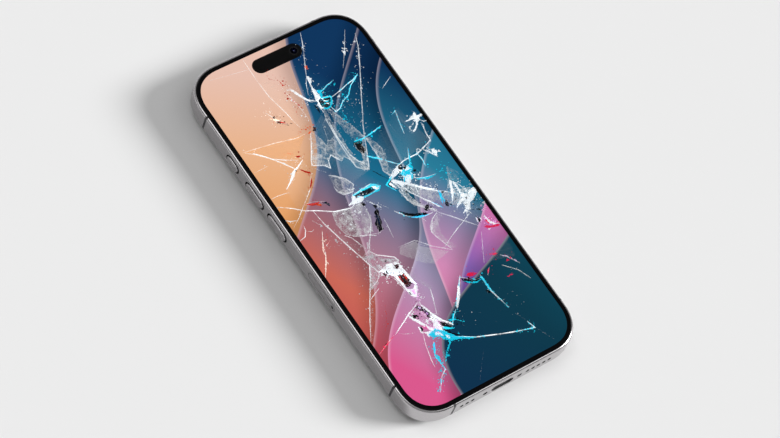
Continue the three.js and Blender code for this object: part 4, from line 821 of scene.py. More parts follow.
# Arms of the powdered stars, as above.
SPLASH_LINES = [
    ("white", 0.9, 0.3, 26.2, 19.6, 25.7, 20.8, 26.2, 21.7, 26.9, 21.5),
    ("white", 0.7, 0.35, 31.2, 22.2, 32.2, 21.4, 33, 21),
    ("white", 0.45, 0.3, 31, 21.4, 30.4, 18, 30, 14.4),
    ("white", 0.8, 0.32, 25.4, 12, 26.4, 11, 27, 9.8, 28, 8),
    ("white", 0.6, 0.3, 26.8, 12.4, 27.2, 11, 28, 10.4),
    ("white", 0.6, 0.3, 23.2, 12, 23.1, 12.7, 23.8, 13, 24.3, 12.5, 24.1, 11.9),
    ("white", 0.6, 0.3, 27.9, -4, 28.7, -5, 29.4, -7, 29.8, -8.6),
    ("white", 0.6, 0.3, 27, -3, 28.4, -4.4, 29, -6),
    ("white", 0.5, 0.4, 26, -15, 25.4, -16.2, 23, -17.2),
    ("white", 0.6, 0.4, 4.6, 45.4, 5.4, 44.2, 6.4, 43.4),
    ("white", 0.7, 0.4, 2.4, 43.2, 2.2, 41.8, 2.4, 40.2),
    ("white", 0.6, 0.3, -4.6, 4.6, -3, 3.2, -1.4, 1.4, -0.6, -0.4),
    ("white", 0.6, 0.3, -7.2, 8.2, -5.6, 10, -8.6, 12.6),
    ("white", 0.7, 0.35, 8.4, 7.4, 10, 4.4, 11.8, 0.4),
    ("white", 0.7, 0.35, 9.2, 7.4, 11.6, 4.6, 14.6, 1.2, 17, -1),
    ("white", 0.6, 0.3, 8.6, 6.6, 9.6, 3, 9.2, 0),
    ("white", 0.5, 0.3, 10.2, 5.8, 12.6, 2.2, 13.2, 0.2),
    ("white", 0.7, 0.3, -12.5, -23.4, -11.8, -27, -11.4, -30.4),
    ("white", 0.6, 0.3, -11, -37.2, -10.2, -38.6, -9.8, -40.6),
]

# Splinters and holes at the hubs, each on top of the ones before it: tone and outline.
SHARDS = [
    # first hub
    ("white", -3.6, 53.8, -2.4, 52.6, -1.2, 49.9, 0.6, 46.2, 1.3, 45.0, -0.9, 47.6, -2.0, 49.8),
    ("white", 3.9, 50.4, 4.9, 49.6, 4.8, 47.2, 4.9, 45.6, 3.6, 45.2, 2.9, 44.6, 2.6, 45.6, 3.2, 47.5),
    ("white", 4.9, 55, 5.6, 54.9, 6, 53.4, 5, 51.8, 4.6, 52.8),
    ("cyan", 5.0, 48.8, 5.6, 48.7, 6.2, 48.2, 7.4, 47.8, 6.2, 47.3, 6.0, 46.2, 5.4, 45.5, 4.6, 45.4,
     5.2, 46.9),
    ("black", 3.4, 45, 5.0, 44.5, 6.0, 44.9, 7.7, 44.8, 8.1, 44.1, 7.5, 42.6, 6.2, 41.4, 4.6, 41.0,
     3.2, 42.2, 3.0, 43.4),
    ("cyan", 4.8, 45.5, 6.5, 45.2, 8.3, 45, 8.6, 44.2, 7.7, 42.4, 6.3, 41, 4.5, 40.6, 3.2, 41.3,
     3.4, 42, 4.6, 41.2, 6.1, 41.6, 7.2, 42.8, 7.9, 44.3, 6.4, 44.7, 5, 44.9),
    ("white", 2.2, 43.9, 3.1, 44.7, 2.9, 42.9, 3.7, 41.5, 2.6, 41.7, 2.1, 42.8),
    ("cyan", 4.9, 44.4, 5.7, 43.7, 6.8, 43.3, 5.6, 43.1),
    ("black", 1.1, 44.4, 1.7, 43, 1.5, 40.8, 1.0, 40.4, 0.9, 43),
    ("black", -4.0, 37.2, -3.4, 36.4, -4.2, 35.3, -5.2, 35.6, -4.6, 36.3),
    ("orange", -7.3, 35.6, -6.2, 36.2, -5.7, 35.9, -6.4, 35.4),
    ("orange", 6.4, 58.6, 7.7, 58.8, 7.4, 57.9, 6.8, 57),
    ("red", -4.1, 47.2, -3.5, 47, -3.4, 46.2, -4.1, 46.4),
    ("red", -3.8, 45.6, -3.2, 45.4, -3.5, 44.8),
    # left chip
    ("black", -14.6, 44.2, -13.4, 43.6, -12.4, 42.4, -11.2, 41.4, -12.2, 42, -13.2, 43.1, -14.5, 43.8),
    ("maroon", -14.7, 44.9, -13.6, 44.4, -13, 43.8, -14, 43.9),
    ("warm", -15.8, 46.6, -14.6, 45.4, -13.2, 44.6, -14.6, 44.8),
    # second hub
    ("white", -10.4, 5.8, -8.4, 6.6, -7.6, 8, -6.6, 8.6, -6.4, 7, -5, 6.4, -4, 5.4, -5.4, 4.9,
     -6.6, 5, -8, 5.2),
    ("cyan", -7, 8.5, -4.4, 8.8, -2, 8.9, 1.4, 9.3, 2.6, 8.5, 4.1, 7.1, 2.4, 5.6, 0.6, 5.8, -2, 5.7,
     -4.2, 5.6, -5.4, 6.6),
    ("navy", -6.4, 8, -3.6, 8.3, -1, 8.2, 0.9, 8.2, 1.8, 6.8, 0.2, 6.2, -2.4, 6.2, -4.2, 6.4),
    ("black", -3.9, 8.2, -2.4, 8.2, -0.4, 7.7, 0.6, 6.9, -0.6, 6.4, -2.4, 6.4, -4, 7),
    ("white", 0.8, 8.3, 2, 7.8, 3.3, 6.9, 2.4, 6.3, 1.2, 7),
    ("white", -6.2, 6.6, -4.9, 6.9, -3.6, 6.1, -5, 5.3, -6.8, 5.4),
    ("black", -6.4, 8, -5.5, 8.1, -5.4, 7.3, -6.3, 7),
    ("black", -6.1, 4.4, -5.2, 4.6, -4.7, 3.3, -5.9, 3.1),
    ("black", -3, 2.1, -2, 1.9, -1.6, 1, -2.8, 0.3),
    # third hub
    ("white", 8.2, 8.2, 10.5, 9.1, 12.4, 10, 14.8, 11, 15.1, 10.4, 13.4, 9.9, 12.8, 8.6, 11, 7.8, 9, 7.4),
    ("white", 8, 7, 9.8, 6.6, 11.2, 5.2, 13.2, 3.6, 15.8, 1.2, 13.4, 2.2, 11.4, 3.8, 10.6, 3, 9.8, 4.9,
     8.6, 5.6),
    ("cyan", 12.4, 8.2, 14.2, 8.7, 15.6, 8.7, 17.2, 9.6, 18.1, 9.2, 18.3, 7.9, 17.3, 7.0, 16.5, 6.6,
     16.6, 5.4, 15.4, 4.0, 14.4, 4.4, 13.8, 5.4, 12.0, 4.5, 13.2, 6.4),
    ("white", 15.6, 8.9, 16.8, 9, 17.3, 8.1, 16, 7.8, 14.8, 7.9),
    ("white", 13.2, 5.8, 14.8, 6.6, 15.6, 5.4, 14.9, 4.2, 13.6, 3.2, 12.6, 4.4),
    ("black", 13.6, 10.6, 14.9, 10.9, 15.0, 10, 13.9, 8.6, 12.4, 7.8, 13, 9.2),
    ("black", 14.9, 9.4, 16.4, 9.7, 15.9, 8.8, 15, 8.3),
    ("black", 17.4, 7, 18.7, 6.9, 18.3, 6.0, 17.5, 6.2),
    ("black", 11.8, 3.2, 12.4, 3.1, 12.3, 2.5, 11.7, 2.6),
    ("black", 10.3, 1.3, 11, 1.1, 10.8, 0.5, 10.2, 0.7),
    ("cyan", 16.2, 3.8, 17.6, 3.4, 19.4, 2.9, 21.2, 2.2, 24.4, 1.9, 21, 1.6, 19.4, 1.7, 18.8, 2.5,
     17.2, 2.9),
    ("cyan", 17.6, 9.2, 18.8, 11.4, 20.9, 14.9, 19.4, 11.4, 18.5, 9.2),
    ("black", 5.9, 6.4, 8.4, 7.6, 7.6, 5.6, 7.5, 3.4),
    ("cyan", 5.5, 6.5, 7.2, 7.5, 9.6, 8.5, 9.2, 7.9, 7, 6.7, 6.3, 6.2, 7.8, 2.8, 7, 3.6),
    ("white", 6.8, 6.2, 7.6, 6.6, 8, 5, 8.6, 3.2, 7.6, 4.4),
    # loose holes around the middle
    ("black", 5.2, 25.4, 6.2, 25.2, 7.9, 25, 7.6, 24, 6.8, 23.4, 7.2, 22, 6.4, 21, 5.8, 19.8, 5.4, 21.6,
     5.2, 23.4),
    ("cyan", 5.2, 25.8, 6.8, 25.8, 8.2, 25.4, 8, 24.6, 6.6, 25.3, 5.4, 25.2),
    ("black", -2.6, 0.4, -2, -0.6, -3, -2.2, -3.6, -4.4, -4.8, -6.4, -6.4, -7.8, -6.2, -6.2, -5, -4.6,
     -4.4, -2.6, -3.4, -0.6),
    ("navy", -3.9, -1.4, -3.2, -2.4, -4.2, -4.4, -5.4, -5.8, -4.6, -4.2),
    ("black", 4.2, -4.6, 6.2, -6.2, 8.4, -7.5, 11.2, -8.4, 12.4, -9.6, 9.6, -9.5, 6.8, -8.3, 5, -6.4),
    ("cyan", 4.8, -6.6, 6.8, -8.5, 9.6, -9.8, 12.6, -9.9, 9.6, -9.5, 6.8, -8.2),
    # splash at the right
    ("white", 26.2, 24.3, 27.6, 24.4, 29.2, 25, 31.2, 25.9, 31.3, 25, 31.0, 24.4, 33, 24.2, 33, 23.6,
     31.4, 23.2, 31, 22.2, 30.2, 22.4, 29.5, 21.2, 28.2, 20.2, 27, 19.3, 26.2, 19.4, 26.4, 20,
     27.6, 20.3, 28.6, 21.2, 29.6, 22.6, 29.6, 23.4, 28.4, 23.8, 26.4, 23.9),
    ("white", 28.1, 11, 29, 10.7, 29, 9.7, 29.7, 9.2, 28.8, 8.6, 28.2, 7.3, 28, 8.6, 27.5, 9.6),
    # splash below it
    ("white", 27.2, -9.3, 29.4, -9.6, 30.4, -8.5, 31.6, -8.2, 32.8, -8.3, 32.8, -10.4, 31.6, -11.2,
     30, -12.4, 28.2, -12.6, 27.2, -14.2, 26.4, -15.2, 25.4, -14.4, 25.8, -12.8, 26.6, -11),
    ("white", 26.7, -1.9, 27.3, -3, 26.5, -4, 25.9, -5.4, 25.1, -7.2, 23, -9.5, 22.5, -9.9, 23.6, -8,
     24.4, -6.4, 25.4, -4.4, 26.2, -2.8),
    ("white", 27.1, -3.4, 28, -4, 27.8, -6.5, 27.8, -8.6, 28.6, -9.5, 26.6, -9.8, 27.1, -7),
    ("white", 22.6, -12.5, 23.6, -11.3, 25, -10.5, 26.8, -9.9, 26.8, -10.8, 25.4, -11.4, 24.2, -11.8),
    ("white", 23.4, -15, 24.6, -14.3, 25.5, -13.9, 25.1, -14.9, 23.6, -15.3),
    ("black", 27.6, -10.4, 28.3, -10.3, 28.2, -11, 27.7, -11.1),
    ("black", 20.2, -8.8, 21.1, -8.1, 21.3, -9.6, 20.4, -10.6, 19.8, -9.8),
    ("black", 21.2, -10.1, 22.2, -10.2, 21.4, -10.8),
    ("black", 24.1, -9.1, 24.8, -9.3, 24.3, -9.7),
    ("black", 28.2, -15.9, 29.4, -15.9, 30.2, -16.5, 29.4, -17, 29.2, -16.4),
    ("black", 27, -18.6, 27.6, -19.8, 26.8, -21, 26.6, -19.8),
    ("white", 26.4, -18.4, 26.9, -18.8, 26.3, -20.8, 26.1, -19.6),
    ("white", 27.6, -19, 28.2, -19.6, 27.6, -20.6),
    ("cyan", 19.4, -8.6, 20.6, -5.4, 20.9, -3.6, 20.2, -5.2),
    ("cyan", 20.6, -5.4, 21.2, -4.2, 20.6, -8, 20.1, -9),
    ("black", 12.1, -8, 13.2, -6.5, 15.1, -6.2, 14.3, -7.6, 12.8, -8.6),
    ("black", 10.7, -8.7, 11.9, -8.7, 12.3, -9.6, 10.9, -9.7),
    ("black", 3.9, -4.1, 5.4, -6.3, 6.8, -7.8, 9, -8.9, 7.6, -7.3, 5.8, -5.6),
    ("white", 15.3, -5, 16, -5.6, 17, -7.4, 18.4, -9.8, 17.4, -9.2, 16.2, -7.2),
    ("cyan", 16.2, -6.4, 17.4, -8.4, 18.6, -10.2, 17.6, -8.2),
    ("white", 14.4, 2, 17.2, -0.6, 20.2, -2.9, 17.2, -1.3),
    ("crimson", 27.2, -23, 28.2, -22.7, 29.2, -23.5, 31, -23.9, 32.8, -24.5, 31.6, -24.9, 29.4, -24.3,
     28, -23.9),
    ("white", 29.2, -19.4, 29.8, -19.1, 30, -21.4, 30.6, -22.4, 31.8, -23.8, 30.2, -23.5, 29.5, -22),
    ("crimson", 28.8, -20.7, 29.4, -20.9, 29.4, -22.9, 28.8, -22.1),
    ("white", 27.6, -24.1, 28.8, -24.2, 28, -24.8),
    # hub in the lower half
    ("white", -15.2, -20.1, -12.2, -20, -11.6, -18.9, -10.4, -19.1, -9.6, -19.9, -8, -20, -7.3, -20.6,
     -7.3, -23, -6.8, -26, -6.5, -30.2, -7.2, -30, -7.6, -27, -7.8, -24.7, -9, -24.5, -10, -23.4,
     -11, -23.5, -11.6, -24.1, -12.4, -22.7, -14.9, -23.9, -14, -22.8, -12.8, -21.6, -13.6, -20.8),
    ("white", -11.7, -23.5, -11, -23.7, -10.5, -27, -10.5, -30.1, -9.6, -30.6, -8.6, -31, -7, -29.8,
     -6.7, -31, -8.2, -32.9, -9.4, -34.3, -10.2, -33.3, -10.9, -32.5, -11, -30.8, -11.3, -27),
    ("maroon", -10.8, -24, -9.4, -24.7, -8, -24.5, -7.8, -27.4, -8.6, -29.6, -10.2, -29.6, -10.5, -27),
    ("maroon", -9.9, -20.6, -8, -20.6, -8.1, -21.9, -9.2, -22.3, -10, -21.5),
    ("black", -9.3, -21.1, -8.3, -21.2, -8.6, -22),
    ("black", -9.7, -24.6, -9, -25, -9.2, -28, -10, -28.3),
    ("red", -8.7, -24.8, -8.1, -25, -8, -26.6, -8.6, -27.2),
    ("red", -10.5, -24.6, -10, -25, -10.2, -27.4),
    ("black", -8.8, -28.2, -8.2, -28.2, -8.4, -29.3),
    ("black", -10, -28.8, -9.4, -28.8, -9.6, -29.8),
    ("black", -14.7, -21.8, -13.9, -21.1, -13.6, -22.2, -14.3, -22.9),
    ("black", -13.4, -21.1, -12.8, -21.1, -12.8, -22, -13.4, -22.2),
    ("black", -10.9, -31.2, -10.4, -31.4, -10.3, -32.7, -10.8, -32.4),
    ("black", -11.6, -17.7, -10.7, -17.7, -10.9, -18.5),
    ("black", -13.2, -15, -12.8, -15.1, -12.9, -15.7),
    ("magenta", -9.6, -31, -8.4, -31.4, -8.8, -33.2, -9.6, -32.6),
    # hub near the bottom
    ("white", -16.1, -38.7, -15.2, -39, -13.5, -42, -12.0, -45, -10.3, -47.1, -12, -47.3, -13.1, -45,
     -14.5, -42.4, -15.7, -40.4),
    ("white", -15.3, -43.5, -14.5, -44.4, -14.9, -46.1, -13, -46.7, -10.6, -47.1, -9.2, -48.6,
     -12, -48.7, -14.3, -48.5, -14.3, -47, -15.7, -45.9),
    ("black", -14.9, -44, -14.1, -44.1, -14.2, -45.4, -15.1, -45.7),
    ("rose", -14, -43.9, -12.6, -44.3, -12.7, -46.1, -14.1, -45.3),
    ("white", -9.9, -36.7, -8.9, -38.4, -8, -41.7, -6.5, -44.8, -5.3, -46.6, -3.9, -48.7, -5, -47.9,
     -6.7, -45.9, -8.1, -44.9, -8.7, -42.2, -9.5, -39),
    ("white", -8.9, -42, -8.3, -44, -8.1, -46.4, -8.5, -49, -10.5, -48.5, -10.8, -46.4, -9.8, -44.8,
     -10.3, -42.8, -9.7, -42.6),
    ("black", -12.1, -37.2, -10.7, -36.9, -9.4, -39.3, -8.7, -41.2, -9.6, -43, -10.4, -42, -9.9, -40.5,
     -11.1, -38.7),
    ("lilac", -11.3, -37.5, -10.8, -37.5, -10.4, -38.5, -10.8, -38.6),
    ("lilac", -10.2, -39.4, -9.8, -39.5, -9.3, -41, -9.7, -41.6, -9.9, -40.4),
    ("black", -15.3, -39, -14.5, -39.2, -14, -40.9, -14.6, -40.6),
    ("black", -8.1, -45.5, -6.6, -46.1, -5.4, -47.8, -4.5, -48.7, -5.6, -49.7, -7.4, -48.2, -8.1, -46.8),
    ("cyan", -8, -47.3, -6.6, -48.2, -5.2, -49.4, -5.2, -49.8, -7, -49, -8.2, -48),
    ("black", -7.9, -48.6, -6.5, -49.5, -6.3, -51, -7.4, -50.5),
    ("cyan", -14, -47.7, -12, -47.3, -10.4, -46.8, -9.4, -48.1, -8.2, -48.9, -7.3, -50.3, -6.2, -51.7,
     -5.4, -53.3, -7.8, -53.5, -9, -52.5, -10.3, -51.5, -10.7, -50, -12.7, -49.6),
    ("white", -11.2, -47.9, -9.6, -48.9, -9.4, -50.4, -10.4, -50, -11.8, -49),
    ("white", -8.6, -50.4, -7.6, -51.4, -8, -52.4, -8.8, -51.8),
    ("black", -9.4, -50.6, -8.9, -50.7, -9.1, -51.3),
    ("cyan", -7, -52, -4.6, -53.3, -1.6, -55.1, 0.4, -56.2, -2, -55.7, -4.8, -54.2, -7, -53.4),
    ("cyan", -13.3, -50.9, -14.4, -51.8, -14.8, -53.4, -15.5, -54.4, -16.5, -55.2, -15.9, -53.8,
     -15.1, -52.6, -14.6, -51.4),
    ("cyan", -15.7, -54.4, -15, -56.4, -15.9, -58.6, -15.8, -61.6, -16.4, -58, -16.6, -55.8),
    ("cyan", -8.4, -53.4, -9.6, -54.4, -11.6, -56.2, -10.4, -54.6, -9.4, -53.6),
    ("white", 0.2, -44.7, 2.3, -41.7, 3.9, -39.5, 6.1, -36.7, 5.2, -39.4, 3.2, -42),
    ("black", 8.2, -35.4, 10, -36.3, 12, -37.7, 14.3, -38.4, 12.6, -39.4, 10, -38.6, 8.4, -37),
    ("cyan", 8.3, -36.6, 9.6, -37.2, 11, -38.4, 12.6, -38.9, 14.6, -38.9, 12.4, -39.5, 10, -38.5),
    ("crimson", 10.4, -35.2, 12, -34.9, 13.4, -35.5, 14.6, -36.4, 13.2, -36.6, 11.6, -36.4),
    ("cyan", 14.4, -38, 15.4, -38.2, 15.3, -40.6, 14.9, -43, 15.5, -46, 14.6, -43.2, 14.8, -40),
    ("black", 13.2, -43.2, 14.4, -43.6, 14.6, -45, 13.6, -44.4),
    # left side
    ("white", -26, 20.6, -23, 22.3, -20.6, 24.6, -18.4, 25.6, -14.6, 27.9, -17.8, 26.4, -20.4, 25.6,
     -22.6, 23.4),
    ("red", -17.7, 25.3, -16.9, 24.8, -16, 23.6, -15.2, 23, -14.8, 22.4, -15.8, 22.4, -16.8, 23.6),
    ("red", -18.8, 17.2, -17.6, 17.9, -16.4, 19.2, -15.6, 20.6, -16.6, 19.8, -17.8, 18.6),
    ("red", -16.3, 30.1, -15, 29.9, -14, 29.4, -15.4, 29.2),
    ("red", -23.8, 13.3, -21.6, 12.3, -19.8, 11.8, -18.5, 11.4, -19.8, 10.8, -22, 11.6),
    ("orange", -20.4, 11.2, -18.6, 10.8, -18.4, 10, -19.8, 10.4),
    ("navy", -18, 10.9, -16.6, 10.7, -15.8, 9.4, -16.2, 8.4, -17, 9.6),
    ("black", -17.2, 10.7, -16.4, 10.3, -16.2, 9.4, -16.8, 9.8),
    ("black", -19.4, 25.8, -18.6, 25.3, -19, 24.9),
]

# Glints of the picture's light in a crack, as above.
GLINTS = [
    ("red", 0.6, 0.5, -14.6, 45, -13.4, 43.8, -12.4, 43, -11.4, 42.2),
    ("orange", 0.5, 0.4, -7.6, 61.8, -7, 61),
    ("red", 0.4, 0.34, -4.9, 58.3, -4.3, 56.4, -3.6, 55),
    ("red", 0.5, 0.34, -5, 51.6, -4.5, 49.6, -4.2, 48.2, -4, 46.2),
    ("orange", 0.5, 0.5, 6.6, 58.9, 7.4, 58.1),
    ("cyan", 0.6, 0.3, 5.5, 47.3, 7, 47.8, 9.5, 48.8, 12.8, 49.5),
    ("cyan", 0.5, 0.28, 12.4, 45, 15.5, 45.8, 19, 46.5, 21.7, 47.7, 20, 49.3),
    ("cyan", 0.6, 0.36, 21.5, 47.5, 17, 45, 14, 42, 11, 41, 8.5, 39, 6.5, 38.5, 6, 41),
    ("cyan", 0.3, 0.22, 7.8, 38.6, 8.6, 35.6, 8.1, 33),
    ("orange", 0.4, 0.3, -18.2, 32.8, -16.2, 31.2),
    ("cyan", 0.9, 0.4, 6, 26, 9, 25.3, 12.5, 25.7, 15.5, 26.2, 17.5, 26.8),
    ("cyan", 0.9, 0.5, 6.1, 19.2, 7.6, 17.8, 9, 16.5, 10.5, 15.2),
    ("cyan", 0.6, 0.32, 10.5, 15.2, 12.5, 13, 14.5, 11),
    ("cyan", 0.6, 0.35, 22.5, 12, 22.8, 9, 22.5, 6.3),
    ("cyan", 0.4, 0.3, 24.4, 2.8, 27.6, 1.6),
    ("cyan", 0.5, 0.26, 23.3, 28.6, 25.3, 29.4, 24.5, 26.5, 23.5, 22.5, 23, 20.5),
    ("cyan", 0.4, 0.26, 3.2, -4, 6, -7.1, 9, -9, 12.4, -9.4),
    ("cyan", 0.5, 0.4, 20.9, -3.6, 20.4, -6.2, 19.7, -8.3),
    ("red", 0.6, 0.3, -27.5, -4.3, -25.8, -3.6, -23.7, -2.6),
    ("red", 0.5, 0.3, -24.2, -2, -23, 0.6),
    ("red", 0.4, 0.24, -20.5, -31.5, -23.5, -36.5, -26.2, -39.8),
    ("crimson", 0.7, 0.3, -32.5, -45.8, -29, -44.3, -24.5, -42.5),
    ("crimson", 0.6, 0.5, -30.4, -45, -28.6, -43.9),
    ("cyan", 0.55, 0.3, 14, -61, 18, -62, 20.3, -62.7, 19.3, -59.7),
    ("cyan", 0.5, 0.4, -8.5, -53, -10.5, -54.8, -12.5, -56.5, -14.5, -58.8),
    ("cyan", 0.4, 0.4, -18.5, -62.5, -20.8, -65, -22.3, -67),
    ("cyan", 0.7, 0.4, -4.6, -46.2, -2, -47.5, 0.2, -49.4),
    ("cyan", 0.6, 0.4, -5.5, -49.5, -4, -48, -2, -46, 0, -44.2),
    ("cyan", 0.5, 0.3, 0.5, -43.4, 3, -40.5, 5.5, -38.1, 7.9, -34.9),
    ("cyan", 0.7, 0.4, 15, -37.5, 15.1, -40, 14.9, -42.5, 15.2, -45),
    ("cyan", 0.45, 0.26, 15.6, -46.5, 16, -49, 16.7, -52),
    ("crimson", 0.7, 0.34, 17.5, -38.5, 19.5, -36.5),
    ("crimson", 0.6, 0.34, 23, -42.3, 25.5, -42.5),
    ("crimson", 0.6, 0.4, 22.5, -32.3, 24, -33.1, 25.4, -33.4),
    ("magenta", 0.5, 0.34, 25.8, -34.5, 27.5, -36, 29.3, -38.3, 30, -40),
]

# Dark gaps where a splinter is gone, as above.
GAPS = [
    ("black", 0.5, 0.3, 8.4, 43, 11, 44.2, 13.8, 45.1),
    ("black", 0.4, 0.3, 10.9, 40.2, 12.6, 37.8),
    ("black", 0.9, 2.0, 5, 25.4, 6.2, 24, 6, 22, 5.6, 20.2),
    ("black", 0.8, 1.4, 5, 25, 7.4, 24.4),
    ("navy", 0.8, 1.2, 5.4, 22.6, 6.6, 21.2, 7.4, 19.8),
    ("black", 0.6, 0.28, 4.2, 14.3, 5.5, 12, 7.8, 8.2),
    ("black", 1.0, 1.3, -2.8, 0, -3.4, -1.8, -4.2, -3.6, -5.4, -5.2, -6.2, -7.2),
    ("navy", 0.8, 1.2, -3.2, -0.6, -4, -2.6, -5.4, -4.4),
    ("black", 0.8, 0.8, -4.6, -6.2, -6.6, -7.6),
    ("black", 0.5, 0.3, 21.6, 0.2, 21, -3, 20, -6),
    ("black", 0.35, 0.22, 10, -23, 14, -21, 18.5, -19, 22, -17.3, 25, -16.5),
    ("black", 0.5, 0.5, -29.4, -44.2, -27.8, -43.4),
    ("black", 0.8, 0.6, -6.4, -51, -4.4, -52.6),
    ("black", 0.8, 0.7, -9.6, -53, -8.4, -54.2),
]

# Veils: tone, cover, what is left of it at the far side, the edge on a crack, and the far side.
VEILS = [
    ("frost", 0.62, 1.0, [-6, 36, -8, 32.5, -10, 29, -12, 26.5, -13, 24.5],
     [-5.6, 35.6, -4.2, 32, -4, 29, -5.4, 27, -7.8, 24.4]),
    ("frost", 0.55, 0.9, [-13, 24.5, -9, 22.5, -7.8, 20.7], [-10.4, 29, -8, 27, -5.4, 27]),
    ("frost", 0.62, 0.9, [-6.8, 23.5, -4.8, 25, -4, 23, -2.7, 21.3, -1, 22.5, 0.4, 20],
     [-6, 27.4, -3.4, 29.4, -2.4, 30.6, -1.6, 30, -0.6, 30.6, 0.4, 27]),
    ("frost", 0.62, 1.0, [-10, 18.8, -8.5, 18, -5.5, 15, -4.2, 11.8],
     [-10.8, 14, -10.4, 11.6, -8.4, 9.6, -6.5, 9.5]),
    ("frost", 0.85, 1.0, [0.4, 20, 0.5, 17, 2.3, 15, 4, 14.2, 5.5, 17, 8, 22],
     [1.2, 26, 1.6, 21, 2.6, 18.8, 4.2, 17.8, 5, 20, 6.6, 25]),
    ("frost", 0.62, 0.7, [4, 44, 1.6, 38, 1, 32, 0.5, 27, 0.4, 20],
     [4, 44, 3, 37, 2.6, 32, 2.3, 27, 2.2, 20]),
    ("frost", 0.55, 0.35, [4, 45, 6, 38, 8.6, 31, 10, 25.4], [4, 44, 4.4, 36, 5.4, 29, 7.4, 22]),
    ("frost", 0.62, 0.6, [10, 25.6, 9.8, 19, 9.4, 15, 8, 11.5, 9.2, 8.4],
     [11, 25, 12.8, 19.5, 12.6, 16, 10.6, 12.6, 11.4, 10]),
    ("frost", 0.55, 0.8, [-6.2, 5.6, -9, 4.6, -13, 5.2, -17, 6],
     [-5.6, -1, -8.4, -5, -11.4, -7, -15.4, -5]),
    ("frost", 0.55, 0.5, [-17.2, 5.6, -18.2, 1.6, -17.6, -3, -15, -5.4],
     [-12.4, 4.6, -12, 0, -11.4, -2, -11, -5]),
    ("frost", 0.62, 0.3, [-5.4, 5.6, -5.6, 1, -6.6, -3, -8.6, -6.4],
     [-8.4, 4, -9.4, -0.4, -10.4, -3, -11.4, -6]),
    ("frost", 0.75, 0.8, [8.4, 3, 9, -2, 10, -4.4, 12.4, -7, 15, -10.2],
     [10.6, 3, 11, -1.4, 12, -4.4, 14.4, -7.2, 16.4, -9.8]),
    ("frost", 0.62, 0.4, [14, 2, 18, -1.8, 22, -4.8, 26.5, -8], [12.4, 0.6, 16, -4, 19, -7.6, 23, -11.4]),
    ("frost", 0.55, 0.5, [6, 6.6, 10, 3, 13, -2, 16, -8], [8.4, 8, 12, 5, 15.4, 0, 18.4, -5]),
    ("frost", 0.45, 0.4, [15.5, -10.5, 12.5, -12, 10.2, -14, 9.5, -16, 10, -18.5, 12, -24.5],
     [17, -12.4, 14.6, -13.4, 13, -15, 12.4, -17, 12.6, -20.4, 14, -24.6]),
    ("grey", 1.0, 0.9,
     [-17.2, -13.2, -15.7, -13.2, -14, -12, -13.3, -14, -11.4, -16.2, -9, -17.8, -6.6, -19.2],
     [-17, -17.4, -15.4, -19.2, -14, -19.8, -12, -19.4, -10, -19.4, -8.6, -19.7, -6.9, -19.8]),
    ("grey", 0.6, 0.3, [-17.2, -17.4, -18.8, -19.4, -20.4, -22, -22.4, -24.6],
     [-15.4, -19.2, -17, -20.6, -18.6, -22.8, -20.6, -24.6]),
    ("grey", 0.5, 0.4, [-14.6, -12.4, -13.6, -10.4, -12.6, -8.8], [-13.2, -13.4, -12.6, -11, -12.2, -9]),
    ("grey", 0.7, 0.4, [-16.4, -16.6, -18.5, -19.5, -20.5, -22.5, -22, -24.5],
     [-14, -20, -15.6, -21.4, -17.4, -23, -19.4, -24.6]),
    ("grey", 0.22, 0.2, [-17.2, -14, -18.8, -10, -20.2, -4, -22, 3],
     [-13.2, -13, -16, -8, -18.8, -3, -21.4, 3.4]),
    ("grey", 0.2, 0.2, [-22, -24.5, -26.5, -31, -32.5, -40.5], [-20.4, -25, -25, -31.6, -31.4, -41]),
    ("grey", 0.25, 0.3, [-7, -26, -3.6, -33.4, -7, -43], [-5.6, -25, -2.4, -33, -5.6, -43.4]),
    ("frost", 0.7, 0.5, [24, -6.2, 28, -6.8, 31.6, -7.6], [23.6, -10.8, 26.8, -12, 30, -11.6]),
    ("frost", 0.45, 0.3, [24.6, -4, 27, -1, 29, 3], [26.6, -6, 29, -3.4, 31.4, -0.6]),
    ("magenta", 0.35, 0.6, [-10.2, -36.5, -8.5, -41, -6.5, -45.5], [-15, -40, -13, -43, -10.6, -47]),
    ("magenta", 0.3, 0.7, [-12, -22, -11, -29, -9.6, -34], [-8, -21, -7.4, -28, -8.4, -33.6]),
]

# Facets, painted light where a splinter lies askew: tone, cover, what is left at the far side, the near side
# and the far side.
FACETS = [
    ("frost", 0.34, 0.5, [-5, -17.8, -3.6, -15.7, 2.6, -16.3, 2.9, -18.4, 6, -21, 10.6, -24.8],
     [-3.4, -19.6, -2.4, -20.4, -1.6, -21.6, -0.6, -23, 1, -25, 3.4, -26]),
    ("frost", 0.4, 0.6, [9.5, -15.4, 10.5, -13.5, 13, -12.8, 15.2, -11],
     [9.8, -16.6, 11.4, -16.2, 13.2, -14.8, 14.6, -13.2]),
    ("amber", 0.3, 0.8, [-31.4, 39.5, -20, 37.9, -8, 36.2], [-31, 39.2, -22, 32.6, -16.4, 28.8]),
    ("warm", 0.12, 0.3, [-26, 20.4, -19, 24.6, -14.6, 27.6], [-27, 12, -21, 13.6, -14.4, 20]),
    ("warm", 0.1, 0.2, [-11.4, 60, -11.4, 54, -8.4, 39], [-7, 60, -6.4, 54, -4, 40]),
    ("grey", 0.07, 0.4, [25.4, -14, 25, -24, 19, -34], [32.4, -14.5, 32.4, -26, 30.6, -37]),
    ("grey", 0.14, 0.2, [3.4, 14, 0.4, 27, 1.4, 40], [-6, 12, -7, 24, -4, 37]),
    ("grey", 0.1, 0.2, [9.4, 8, 16, 11.6, 29.8, 14], [12, 22, 18, 26, 27, 30]),
]

